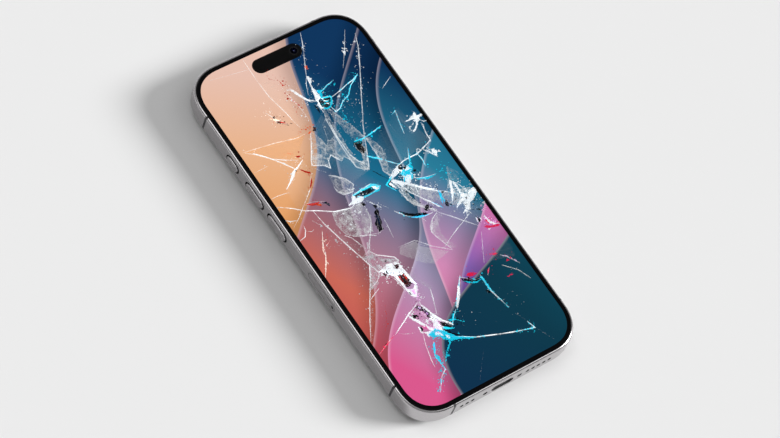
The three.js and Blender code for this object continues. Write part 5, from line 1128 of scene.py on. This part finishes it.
# Crumbs: tone, spread, count, size, then middles.
CRUMBS = [
    ("red", 1.3, 60, 0.13, -5, 52, -4.2, 49, -4, 46, -4.2, 57, -7, 61, -6, 59.6),
    ("white", 1.5, 70, 0.12, -5, 51, -4.4, 47, -1, 50, -4, 42, -4.6, 55),
    ("maroon", 0.9, 40, 0.14, -13, 43.8, -11.8, 42.4, -14, 45),
    ("warm", 1.5, 50, 0.13, -15, 47.4, -13.6, 45.2, -16, 49),
    ("orange", 0.9, 40, 0.14, -6.2, 37.4, -4.8, 38.2, -4.4, 36.4, -9, 37),
    ("white", 1.6, 120, 0.12, 4, 46, 4.4, 50, 5.4, 43, 8, 40, 2, 44),
    ("cyan", 1.2, 90, 0.14, 4, 43, 7, 42, 9, 46.6, 12, 42, 8, 34, 7.4, 37),
    ("white", 0.8, 110, 0.1, 6.6, 58.2, 8.5, 61.6, 10.6, 65.6, 24, 49.8, 26.4, 54, 28.4, 57.4, 20, 43),
    ("white", 0.4, 16, 0.2, 23.3, 58, 22.4, 56.8, 24.4, 60.6),
    ("grey", 2.2, 150, 0.1, 13, 35, 11, 31, 16, 39, 6, 36, 3, 32, 4.6, 28),
    ("white", 1.4, 90, 0.12, -18, 26, -21, 24, -16, 27.4, -22, 30.4),
    ("red", 1.0, 60, 0.15, -16, 24, -15.4, 21.6, -17.6, 18, -15, 29.6, -20, 12),
    ("white", 2.0, 150, 0.12, -6, 6, -9, 3, -12, 2, -14, -1, -4, 8),
    ("cyan", 1.1, 90, 0.13, -2, 8.8, 2, 8.6, 7, 26, 10, 25.4, 8, 17.8, 14, 6, 17, 8, 20, 3),
    ("white", 1.3, 190, 0.14, 14, 6, 12, 4, 16, 4, 17, 1, 20, -2, 13, 8.6),
    ("white", 1.3, 170, 0.15, 30, 23.6, 28.6, 9.8, 27.4, -8, 30, -10, 25.6, -12, 26, -5),
    ("cyan", 1.6, 60, 0.12, 28, 4.6, 27, -1, 24, -8, 21, -10.6, 26, 14),
    ("grey", 2.2, 160, 0.12, 27, -13, 30, -14, 24, -11, 22, -8, 30, -6),
    ("black", 1.2, 60, 0.18, 27.4, -14.4, 24.4, -11, 21, -6, 6, -7.6, 12.6, -7.4, 30, -13),
    ("magenta", 0.8, 60, 0.14, 29.6, -21, 31.4, -23, 27, -20, 30.6, -17),
    ("crimson", 1.3, 60, 0.14, 29.6, -22, 31.6, -23.6, 24, -33, 18.6, -37.6, 13, -36, 27.6, -36.4),
    ("white", 1.5, 220, 0.14, -11.4, -21, -13, -20, -9, -20.4, -14.6, -22, -9, -32, -7.6, -24),
    ("grey", 2.2, 200, 0.11, -16.6, -15, -18, -18, -15, -19, -20, -9, -19, -23, -24, -29, -21, -2),
    ("maroon", 0.9, 70, 0.16, -10, -25, -9, -28, -11.4, -37.4, -13, -23, -7.6, -22),
    ("white", 1.0, 150, 0.14, -11, -44, -9, -47, -13, -43, -7.6, -42, -9, -35, -15, -39),
    ("magenta", 0.9, 90, 0.15, -12, -46, -10, -47.4, -8.4, -33.4, -7.4, -31, -9, -45),
    ("black", 0.9, 90, 0.18, -11, -39, -7, -47, -13, -40.4, -9.4, -43, -1.6, -48.6, 11, -37.4),
    ("cyan", 0.9, 190, 0.16, -11, -50, -8.6, -52.6, -5, -53.6, -14.6, -53, -16.4, -57, -12.6, -56.6,
     -19.6, -63.8, -17, -61.6),
    ("cyan", 0.5, 80, 0.14, 12, -38, 15, -42, 16.4, -51, 2, -57, 14, -61, -22, -66, -15.6, -59),
    ("grey", 3.0, 120, 0.08, -20, -30, -25, -6, 24, 45, 20, 30, 10, 55, -24, 27, 2, -50, 20, -50),
]


# Operators

LIP_SLOPE = 20  # degrees, by which the band's lip falls outwards from the glass
EDGE_START = 52  # degrees around the edge from the flat side, where the lip ends
EDGE_STEPS = 10
STRIP_PROUD = 0.02  # how far a strip stands out of the band's side
STRIP_STRETCH = 1.006  # of its height, which brings it out of the lips as well
STRIP_DEPTH = 0.8  # of a strip into the wall
BACK_CLEARANCE = 0.1  # between the band's inner ledge and the back glass
FLANGE_RIM = 0.6  # how far the flange of a CAD key reaches past its ends, and half of that past its sides
FLANGE_DEPTH = 0.5  # from its inner face outwards
KEY_EDGE = 0.42  # radius of a key's round outer edge
KEY_GAP, TRAY_GAP = 1.2, 0.3  # what a slot is longer and wider than the key or the tray in it
PORT_GAP, SCREW_GAP = 0.1, 0.2  # the same for the port and the screws
SCREW_SEAT = 1.1  # depth of a screw's recess
CUT_PAST = 1.0  # how far a cutter reaches past the band on both sides
SOUND_HOLES = {"microphone_mesh": 3, "speaker_mesh": 5}
SOUND_HOLE, HOLE_PITCH = 1.5, 2.3  # width of a hole, and from one to the next
MIDDLE_HEIGHT = in_mm(BAND_LOW[2] + BAND_HIGH[2]) / 2
KEYS = {"action_button": "action_key", "volume_up_button": "volume_up_key",
        "volume_down_button": "volume_down_key", "side_button": "side_key"}


def outer_profile():
    """The band's outer face from its back lip to its front lip, as inset and height in mm: a lip that
    falls outwards by LIP_SLOPE, a round edge of radius r with inset r (1 - cos t) and height r sin t
    over the end of the flat side, and that side between the two edges."""
    r = in_mm(sizes().edge)
    lip = in_mm(sizes().lip)
    t = np.linspace(radians(EDGE_START), 0, EDGE_STEPS + 1)
    run, rise = r - r * np.cos(t), r * np.sin(t)
    slope = (lip - run[0]) * np.tan(radians(LIP_SLOPE))
    half = in_mm(BAND_HIGH[2] - BAND_LOW[2]) / 2 - slope
    edge = np.stack([run, half - rise[0] + rise], -1)
    upper = np.concatenate([[[lip, half + slope]], edge])
    lower = upper * [1, -1]
    return np.concatenate([lower, upper[::-1]]) + [0, MIDDLE_HEIGHT]


class BandOperator(bpy.types.Operator):
    """The metal band: one profile carried around the body's outline, then cut for all that passes it"""

    bl_idname = "phone.make_band"
    bl_label = "Band"

    def execute(self, context):
        lip, wall = in_mm(sizes().lip), in_mm(sizes().wall)
        front = box_mm("display_gasket")[0][2]
        back = box_mm("back_glass")[1][2] + BACK_CLEARANCE
        inner = [[lip, front], [wall, front], [wall, back], [lip, back]]
        rings = np.stack([
            np.column_stack([body_outline(inset), np.full(OUTLINE_POINTS, z)])
            for inset, z in np.concatenate([outer_profile(), inner])])
        rows, columns = rings.shape[:2]
        faces = grid_faces(rows, columns, wrap_rows=True, wrap_columns=True)[:, ::-1]
        band = new_piece("band", rings.reshape(-1, 3), faces, brushed_titanium(), None)
        face_out(band)
        cut = self.openings()
        modifier = band.modifiers.new("openings", "BOOLEAN")
        modifier.object = cut
        modifier.solver = "EXACT"
        modifier.material_mode = "TRANSFER"
        apply_modifiers(band)
        bpy.data.objects.remove(cut)
        smooth(band, 32)
        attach(band, "phone")
        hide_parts("side_frame")
        self.strips()
        return {"FINISHED"}

    def strips(self):
        """The plastic strips across the band: its outer profile, a hair proud, carried along each node."""
        plastic = moulded("injection moulded strip plastic", colours().strip, 0.5, grit=0.12)
        profile = outer_profile()
        middle = [0, profile[:, 1].mean()]
        outer = (profile - middle) * [1, STRIP_STRETCH] + middle - [STRIP_PROUD, 0]
        loop = np.concatenate([outer, np.maximum(profile, [STRIP_DEPTH, 0])[::-1]])
        for place in ("top", "bottom", "left_upper", "left_lower", "right_upper", "right_lower"):
            low, high = box_mm("antenna_strip_" + place)
            along_x = place in ("top", "bottom")
            axis = 0 if along_x else 1
            side = in_mm(sizes().height if along_x else sizes().width) / 2
            sign = np.sign(low[1 - axis] + high[1 - axis])
            outline = loop * [-sign, 1] + [sign * side, 0]
            points, faces = bar(outline, (low[axis], high[axis]), along_x)
            strip = new_piece("strip_" + place, points, faces, plastic, "phone")
            face_out(strip)
            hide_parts("antenna_strip_" + place)

    def openings(self):
        """All cutters in one mesh: slots for the buttons and the card tray, the port, screws and holes."""
        end = in_mm(sizes().height) / 2
        side = in_mm(sizes().width) / 2
        deep = in_mm(sizes().wall) + CUT_PAST
        parts = []
        for name in (*KEYS, "sim_tray"):
            low, high = box_mm(name)
            flange, gap = (0.0, TRAY_GAP) if name == "sim_tray" else (FLANGE_RIM, KEY_GAP)
            outline = capsule_outline(high[1] - low[1] - 2 * flange + gap, high[2] - low[2] - flange + gap)
            sign = 1 if name == "side_button" else -1
            ends = [sign * (side - deep), sign * (side + CUT_PAST)]
            parts.append(bar(outline + [(low[1] + high[1]) / 2, MIDDLE_HEIGHT], ends, along_x=True))
        low, high = box_mm("charge_port_shell")
        port = capsule_outline(high[0] - low[0] + PORT_GAP, high[2] - low[2] + PORT_GAP)
        ends = [-end - CUT_PAST, -end + deep]
        parts.append(bar(port + [0, MIDDLE_HEIGHT], ends, along_x=False))
        for name in ("bottom_screw_left", "bottom_screw_right"):
            low, high = box_mm(name)
            width = high[0] - low[0] + SCREW_GAP
            outline = capsule_outline(width, width) + [(low[0] + high[0]) / 2, MIDDLE_HEIGHT]
            parts.append(bar(outline, [-end - CUT_PAST, -end + SCREW_SEAT], along_x=False))
        for mesh, holes in SOUND_HOLES.items():
            low, high = box_mm(mesh)
            for step in range(holes):
                x = (low[0] + high[0]) / 2 + HOLE_PITCH * (step - (holes - 1) / 2)
                outline = capsule_outline(SOUND_HOLE, SOUND_HOLE, 10) + [x, MIDDLE_HEIGHT]
                parts.append(bar(outline, ends, along_x=False))
        points, faces, count = [], [], 0
        for part_points, part_faces in parts:
            points.append(part_points)
            faces += [[index + count for index in face] for face in part_faces]
            count += len(part_points)
        # Near black on the walls of every opening: painted shade in the recesses.
        dark = moulded("opening walls painted dark as shade", "0B0B0C", 0.8)
        cutter = new_piece("openings", np.concatenate(points), faces, dark, None)
        face_out(cutter)
        return cutter


def bar(outline, ends, along_x):
    """A closed bar with this outline between two planes, along X or along Y."""
    n = len(outline)
    first, second = outline.T
    rows = []
    for place in ends:
        column = np.full(n, place)
        rows.append(np.stack([column, first, second] if along_x else [first, column, second], -1))
    return np.concatenate(rows), tube_faces(2, n)


def face_out(piece):
    """Merges doubles and turns all faces outwards."""
    work = bmesh.new()
    work.from_mesh(piece.data)
    bmesh.ops.remove_doubles(work, verts=work.verts, dist=mm(0.0001))
    bmesh.ops.recalc_face_normals(work, faces=work.faces)
    work.to_mesh(piece.data)
    work.free()


def apply_modifiers(piece):
    """Turns a piece's live modifiers into its mesh."""
    graph = bpy.context.evaluated_depsgraph_get()
    mesh = bpy.data.meshes.new_from_object(piece.evaluated_get(graph))
    piece.modifiers.clear()
    piece.data = mesh


class ButtonsOperator(bpy.types.Operator):
    """The four keys on the sides: capsules with a soft outer edge and the flange that holds them in"""

    bl_idname = "phone.make_buttons"
    bl_label = "Buttons"

    def execute(self, context):
        metal = brushed_titanium("brushed titanium key", tinted(colours().metal, 0.97), 0.26)
        for node, body in KEYS.items():
            low, high = box_mm(node)
            sign = 1 if node == "side_button" else -1
            inner, outer = sorted([abs(low[0]), abs(high[0])])
            length = high[1] - low[1] - 2 * FLANGE_RIM
            height = high[2] - low[2] - FLANGE_RIM
            t = np.linspace(0, pi / 2, 7)
            round_edge = np.stack([1 - np.cos(t), np.sin(t) - 1], -1) * KEY_EDGE + [0, outer]
            flange = inner + FLANGE_DEPTH
            profile = [(-FLANGE_RIM / 2, inner), (-FLANGE_RIM / 2, flange), (0, flange), *round_edge,
                       (1.0, outer)]
            outlines = [capsule_outline(length - 2 * inset, height - 2 * inset) for inset, _ in profile]
            rings = np.stack([np.column_stack([np.full(len(outline), sign * x), outline])
                              for outline, (_, x) in zip(outlines, profile)])
            rings += [0, (low[1] + high[1]) / 2, MIDDLE_HEIGHT]
            faces = tube_faces(*rings.shape[:2])
            key = new_piece(node + "_cap", rings.reshape(-1, 3), faces, metal, None)
            face_out(key)
            smooth(key, 35)
            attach(key, body)
            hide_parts(node)
        return {"FINISHED"}


# All under the top of the glass. The panel lies 0.8 mm down, and glass makes it look nearer than that.
PICTURE_DEPTH = 0.42
SEAL_FOOT, SEAL_SHOULDER, SEAL_TOP = 0.6, 0.46, 0.44

PRINT_LIFT = 0.01  # of the border over the picture, and half of that again for the pill
PRINT_INSET = 0.03  # of the border's outer edge from the edge of the glass
PILL_RIM = 0.2  # what the printed pill is longer and wider than the window under it
LENS_RADIUS = 1.25
LATHE_SIDES = 32


class DisplayOperator(bpy.types.Operator):
    """The lit picture, the black border printed under the glass, the pill and the camera in it"""

    bl_idname = "phone.make_display"
    bl_label = "Display"

    def execute(self, context):
        top = in_mm(GLASS_HIGH[2])
        level = top - PICTURE_DEPTH
        inset = in_mm(glass_inset())
        lit = body_outline(inset + in_mm(sizes().border))
        points = np.column_stack([lit, np.full(OUTLINE_POINTS, level)])
        face = list(range(OUTLINE_POINTS))
        new_piece("screen_picture", points, [face], lit_picture(), "phone")
        ring = np.concatenate([body_outline(inset + PRINT_INSET), lit])
        ring = np.column_stack([ring, np.full(len(ring), level + PRINT_LIFT)])
        ink = moulded("black ceramic print", colours().border, 0.35, grit=0.3)
        faces = grid_faces(2, OUTLINE_POINTS, wrap_columns=True)
        new_piece("border_print", ring, faces, ink, "phone")
        self.pill(level + 1.5 * PRINT_LIFT)
        lip = in_mm(sizes().lip)
        seal = moulded("rubber seal around the glass", "0A0A0B", 0.8, grit=0.2)
        rows = [(lip + 0.01, SEAL_FOOT), (lip + 0.03, SEAL_SHOULDER), (lip + 0.1, SEAL_TOP),
                (inset + 0.02, SEAL_TOP)]
        loop = np.concatenate([
            np.column_stack([body_outline(out), np.full(OUTLINE_POINTS, top - depth)])
            for out, depth in rows])
        faces = grid_faces(len(rows), OUTLINE_POINTS, wrap_columns=True)
        new_piece("glass_seal", loop, faces, seal, "phone")
        return {"FINISHED"}

    def pill(self, level):
        """The pill-shaped cut-out, and in its right end the camera: a dark rim around two coated lenses,
        one on the other, each with the height h (1 - (r / R)^2) over its foot."""
        low, high = box_mm("sensor_island")
        middle = (low[1] + high[1]) / 2
        outline = capsule_outline(high[0] - low[0] + PILL_RIM, high[1] - low[1] + PILL_RIM, 24)
        n = len(outline)
        black = moulded("black sensor window", "101012", 0.3, grit=0.3)
        points = np.column_stack([outline + [0, middle], np.full(n, level)])
        new_piece("pill_print", points, [list(range(n))], black, "phone")
        low, high = box_mm("front_camera")
        x = (low[0] + high[0]) / 2
        rim = [(LENS_RADIUS, 0.01), (1.35, 0.04), (1.6, 0.04), (1.75, 0.01)]
        self.lathe("camera_rim", rim, x, middle, level, moulded("black anodised rim", "141417", 0.4))
        dome = [(a, 0.01 + 0.06 * (1 - (a / 1.3) ** 2)) for a in np.linspace(0.02, LENS_RADIUS, 10)]
        lens = coated_lens(x, middle, LENS_RADIUS)
        self.lathe("camera_lens", dome, x, middle, level, lens)
        bead = [(a, 0.07 + 0.14 * (1 - (a / 0.46) ** 2)) for a in np.linspace(0.02, 0.45, 6)]
        self.lathe("camera_inner_lens", bead, x + 0.1, middle, level, lens)

    def lathe(self, name, profile, x, y, level, material):
        """A profile of radius and height turned around an upright axis, closed where it starts at it."""
        t = np.linspace(0, 2 * pi, LATHE_SIDES + 1)[:-1]
        rings = np.concatenate([
            np.stack([x + r * np.cos(t), y + r * np.sin(t), np.full(LATHE_SIDES, level + h)], -1)
            for r, h in profile])
        faces = grid_faces(len(profile), LATHE_SIDES, wrap_columns=True).tolist()
        if profile[0][0] < 0.1:
            faces.append(list(range(LATHE_SIDES))[::-1])
        piece = new_piece(name, rings, faces, material, "phone")
        piece.data.shade_smooth()


def coated_lens(x, y, radius):
    """Optical glass with a blue-violet anti-reflection coat over a black barrel. The eye gets a deep blue
    in its middle, a painted reflection of the coat, then the dark aperture blades and two thin rings of
    the barrel. The colour follows the distance from the middle, given in mm, as a share of the radius."""
    material, tree = new_material("coated optical glass")
    place = add(tree, "ShaderNodeTexCoord").outputs["Object"]
    flat = add(tree, "ShaderNodeMapping", {"Vector": place, "Scale": (1, 1, 0)}).outputs[0]
    away = add(tree, "ShaderNodeVectorMath", {0: flat, 1: (mm(x), mm(y), 0)}, operation="DISTANCE")
    share = add(tree, "ShaderNodeMath", {0: away.outputs["Value"], 1: 1 / mm(radius)},
                operation="MULTIPLY")
    painted_bloom = add(tree, "ShaderNodeValToRGB", {"Fac": share.outputs[0]})
    # The blue at the middle of this ramp is a painted reflection of the coat.
    fill_ramp(painted_bloom, [(0.0, "2B3C86"), (0.16, "1A2654"), (0.3, "05060C"), (0.52, "090A14"), (0.56, "26284A"),
                      (0.6, "08080D"), (0.8, "0A0A0E"), (0.84, "1E1F2A"), (0.88, "08080B")])
    shader = add(tree, "ShaderNodeBsdfPrincipled", {
        "Base Color": painted_bloom.outputs[0], "Roughness": 0.08, "Specular Tint": linear("8FA4FF"),
        "Coat Weight": 1.0, "Coat Roughness": 0.03, "Coat Tint": linear("B9C4FF")})
    add(tree, "ShaderNodeOutputMaterial", {"Surface": shader.outputs[0]})
    return material


class GlassOperator(bpy.types.Operator):
    """The shattered cover glass: the solid's own cracks, then the facets, veils, lines and crumbs in it"""

    bl_idname = "phone.make_glass"
    bl_label = "Broken glass"

    def execute(self, context):
        dress("cover_glass", cracked_glass())
        facets = Broken("facet_light_film", 10)
        for row in FACETS:
            facets.veil(*row, slant=0.01)
        facets.build(painted_facet_light())
        gaps = Broken("splinter_gaps", 11)
        gaps.strokes(GAPS, slant=0.03, jitter=0.16)
        gaps.build(fracture("gap where a splinter is gone", 0.1, 0.5, 0.0))
        veils = Broken("crushed_veils", 12)
        for row in VEILS:
            veils.veil(*row)
        veils.build(crushed_veil())
        # The cracks, glints, stars, splinters and crumbs glow by the fourth number of fracture, a painted
        # glow; the gaps above are given none.
        lines = Broken("white_cracks", 14)
        lines.strokes(WHITE_LINES, barbs=0.12, dust=0.9)
        lines.build(fracture("white fracture line", 0.2, 0.45, 0.35))
        glints = Broken("colour_glints", 13)
        glints.strokes(GLINTS, jitter=0.12, barbs=0.35, dust=2.2)
        glints.build(fracture("glint in the picture's colour", 0.15, 0.4, 0.7))
        stars = Broken("impact_stars", 15)
        stars.strokes(SPLASH_LINES, jitter=0.14, barbs=0.5, dust=2.5)
        stars.build(fracture("powdered glass at an impact", 0.2, 0.4, 0.4, 4.0))
        splinters = Broken("hub_splinters", 17)
        splinters.shards(SHARDS)
        splinters.build(fracture("splinter standing on edge", 0.22, 0.5, 0.45, 4.6))
        crumbs = Broken("glass_crumbs", 16)
        for tone, spread, count, size, *middles in CRUMBS:
            crumbs.crumbs(tone, spread, count, size, middles)
        crumbs.build(fracture("crumb of glass", 0.2, 0.3, 0.35))
        return {"FINISHED"}


# Finish of each remaining CAD node: name, sRGB hex, roughness, grit in mm, coat, metallic, nodes.
FINISHES = [
    ("pressed seal", "0C0C0D", 0.7, 0.2, 0.0, 0.0, ["display_gasket"]),
    ("laminated display", "0A0A0C", 0.4, 0.3, 0.0, 0.0, ["display_panel"]),
    ("rolled steel sheet", "9A9B9C", 0.35, 0.1, 0.0, 1.0,
     ["display_backplate", "haptic_motor", "board_shield_upper", "board_shield_lower",
      "connector_cowling", "cowling_screw_left", "cowling_screw_right", "charge_port_shell",
      "sim_reader", "bottom_screw_left", "bottom_screw_right"]),
    ("woven sound mesh", "2A2A2C", 0.6, 0.1, 0.0, 1.0, ["microphone_mesh", "speaker_mesh"]),
    ("moulded black plastic", "17171A", 0.5, 0.12, 0.0, 0.0,
     ["sensor_island", "front_camera", "infrared_camera", "dot_projector", "earpiece_speaker",
      "bottom_microphone", "loudspeaker", "charge_port_tongue", "rear_camera_upper",
      "rear_camera_lower"]),
    ("polyimide ribbon", "B46A1E", 0.4, 0.2, 0.2, 0.0,
     ["left_button_flex", "right_button_flex", "display_flex", "charge_port_flex"]),
    ("printed card", "EDEDE8", 0.45, 0.15, 0.0, 0.0, ["sim_card"]),
    ("stamped aluminium plate", "A8AAAC", 0.45, 0.12, 0.0, 1.0, ["mid_plate"]),
    ("wound copper coil", "B9673A", 0.35, 0.1, 0.0, 1.0, ["charging_coil"]),
    ("stretch-release adhesive", "E9E9E6", 0.7, 0.3, 0.0, 0.0,
     ["battery_adhesive_left", "battery_adhesive_right"]),
    ("laminated foil pouch", "1D1E20", 0.4, 0.4, 0.1, 0.0, ["battery"]),
    ("solder mask on board", "12382A", 0.35, 0.15, 0.2, 0.0, ["logic_board"]),
]


class InsideOperator(bpy.types.Operator):
    """Finishes of the tray, the parts inside and the back"""

    bl_idname = "phone.finish_rest"
    bl_label = "Tray, inside and back"

    def execute(self, context):
        for name, colour, roughness, grit, coat, metallic, members in FINISHES:
            material = moulded(name, colour, roughness, grit, coat, metallic)
            for node in members:
                dress(node, material)
        dress("sim_tray", brushed_titanium("brushed titanium tray", tinted(colours().metal, 0.96), 0.3))
        back = colours().back
        dress("back_glass", moulded("etched back glass", back, 0.5, 0.08, 0.1, depth=0.005, uneven=0.012))
        dress("camera_plateau", moulded("polished back glass", back, 0.2, 0.4, 0.6, uneven=0.012))
        ring = brushed_titanium("turned titanium ring", tinted(colours().metal, 0.8), 0.22)
        for place in ("upper", "lower"):
            dress("rear_lens_ring_" + place, ring)
            low, high = box_mm("rear_lens_cover_" + place)
            x, y, _ = (low + high) / 2
            dress("rear_lens_cover_" + place, coated_lens(x, y, (high[0] - low[0]) / 2))
        dress("flash_window", moulded("moulded diffuser", "F1EEDC", 0.35, 0.5, 0.5))
        return {"FINISHED"}


# Screens of the studio: where they hang, the cosines of their full and their outer radius, and how bright
# they are against the white walls.
SCREENS = [
    ((0.434, 0.304, 0.848), 0.985, 0.945, 0.0),  # mirrored by the glass, so that it stays clear
    ((-0.86, 0.30, 0.41), 0.97, 0.91, 1.8),  # for the light along the round edge on the left
    ((-0.95, 0.29, 0.08), 0.985, 0.955, 0.1),  # for the darker line under that light
    ((-0.23, 0.30, 0.925), 0.985, 0.945, 5.5),  # for the bright lip on the left
    ((0.434, -0.33, 0.84), 0.985, 0.945, 3.6),  # for the bright lip at the bottom
    ((0.43, -0.84, 0.33), 0.95, 0.88, 0.04),  # for the dark line under the lip at the bottom
]
SUN_ANGLE = 20  # degrees across, which softens the shadow
SUN_FROM = (0.80, -0.45, 0.44)
FLOOR_REACH = 3000  # from the middle to each side


class StageOperator(bpy.types.Operator):
    """Pale floor, white studio with its dark and bright screens, soft key light and the camera"""

    bl_idname = "phone.make_stage"
    bl_label = "Stage"

    def execute(self, context):
        stage = context.scene.phone_stage
        corners = np.array([[-1, -1, 0], [1, -1, 0], [1, 1, 0], [-1, 1, 0]]) * FLOOR_REACH
        floor = new_piece("floor", corners, [(0, 1, 2, 3)], self.paper(stage.floor), None)
        self.studio(stage.sky)
        light = bpy.data.lights.new("key", "SUN")
        light.energy = stage.sun
        light.angle = radians(SUN_ANGLE)
        lamp = bpy.data.objects.new("key", light)
        lamp.rotation_euler = Matrix(self.turned_to(SUN_FROM)).to_euler()
        context.scene.collection.objects.link(lamp)
        self.camera(stage.lens)
        return {"FINISHED"}

    def turned_to(self, towards):
        """Rotation whose third axis points towards a direction."""
        z = np.array(towards) / np.linalg.norm(towards)
        x = np.cross((0, 1, 0), z)
        x /= np.linalg.norm(x)
        return np.stack([x, np.cross(z, x), z], -1).tolist()

    def paper(self, colour):
        """Matt studio paper: even and pale, with no shine."""
        material, tree = new_material("matt studio paper")
        shader = add(tree, "ShaderNodeBsdfDiffuse", {"Color": linear(colour)})
        add(tree, "ShaderNodeOutputMaterial", {"Surface": shader.outputs[0]})
        return material

    def studio(self, brightness):
        """A white studio with round screens. In each direction the light is 1, and each screen in turn
        mixes its own brightness over that, fading from its full to its outer radius."""
        world = bpy.data.worlds.new("studio")
        bpy.context.scene.world = world
        world.use_nodes = True
        tree = world.node_tree
        tree.nodes.clear()
        ray = add(tree, "ShaderNodeTexCoord").outputs["Generated"]
        light = None
        for towards, inner, outer, value in SCREENS:
            towards = np.array(towards) / np.linalg.norm(towards)
            dot = add(tree, "ShaderNodeVectorMath", {0: ray, 1: towards.tolist()},
                      operation="DOT_PRODUCT")
            share = add(tree, "ShaderNodeMapRange", {
                "Value": dot.outputs["Value"], "From Min": outer, "From Max": inner},
                interpolation_type="SMOOTHSTEP")
            light = add(tree, "ShaderNodeMix", {
                "Factor": share.outputs[0], "A": light or 1.0, "B": value}).outputs["Result"]
        strength = add(tree, "ShaderNodeMath", {0: light, 1: brightness}, operation="MULTIPLY")
        white = add(tree, "ShaderNodeBackground", {
            "Color": (1, 1, 1, 1), "Strength": strength.outputs[0]})
        add(tree, "ShaderNodeOutputWorld", {"Surface": white.outputs[0]})

    def camera(self, lens):
        """The camera solved from the photograph's perspective. Its place is given from the middle of the
        top of the glass."""
        data = bpy.data.cameras.new("camera")
        data.lens = lens
        data.sensor_width = 36.0
        data.clip_start = mm(50)
        right = (0.80603, -0.55151, 0.21484, 0)
        up = (0.40252, 0.77689, 0.48417, 0)
        back = (-0.43393, -0.30378, 0.84819, 0)
        place = (mm(-472.24), mm(-335.41), mm(921.87) + GLASS_HIGH[2], 1)
        camera = bpy.data.objects.new("camera", data)
        camera.matrix_world = Matrix([right, up, back, place]).transposed()
        bpy.context.scene.collection.objects.link(camera)
        bpy.context.scene.camera = camera


class PhonePanel(bpy.types.Panel):
    """Lists the pieces and their sizes and colours"""

    bl_idname = "VIEW3D_PT_shattered_phone"
    bl_label = "Shattered phone"
    bl_space_type = "VIEW_3D"
    bl_region_type = "UI"
    bl_category = "Phone"

    def draw(self, context):
        for settings in (context.scene.phone_sizes, context.scene.phone_colours,
                         context.scene.phone_stage):
            box = self.layout.box()
            for name in settings.__annotations__:
                box.prop(settings, name)
        for operator in OPERATORS:
            self.layout.operator(operator.bl_idname)


SETTINGS = (PhoneSizes, PhoneColours, StageSettings)
OPERATORS = (StageOperator, BandOperator, ButtonsOperator, DisplayOperator, GlassOperator, InsideOperator)


def register():
    """Registers the settings, operators and panel."""
    for kind in (*SETTINGS, *OPERATORS, PhonePanel):
        bpy.utils.register_class(kind)
    bpy.types.Scene.phone_sizes = bpy.props.PointerProperty(type=PhoneSizes)
    bpy.types.Scene.phone_colours = bpy.props.PointerProperty(type=PhoneColours)
    bpy.types.Scene.phone_stage = bpy.props.PointerProperty(type=StageSettings)


def unregister():
    """Takes everything back out."""
    del bpy.types.Scene.phone_sizes
    del bpy.types.Scene.phone_colours
    del bpy.types.Scene.phone_stage
    for kind in (*SETTINGS, *OPERATORS, PhonePanel):
        bpy.utils.unregister_class(kind)


def main():
    """Builds everything."""
    register()
    bpy.context.scene.view_settings.view_transform = "Standard"
    bpy.ops.phone.make_stage()
    bpy.ops.phone.make_band()
    bpy.ops.phone.make_buttons()
    bpy.ops.phone.make_display()
    bpy.ops.phone.make_glass()
    bpy.ops.phone.finish_rest()


if __name__ == "__main__":
    main()
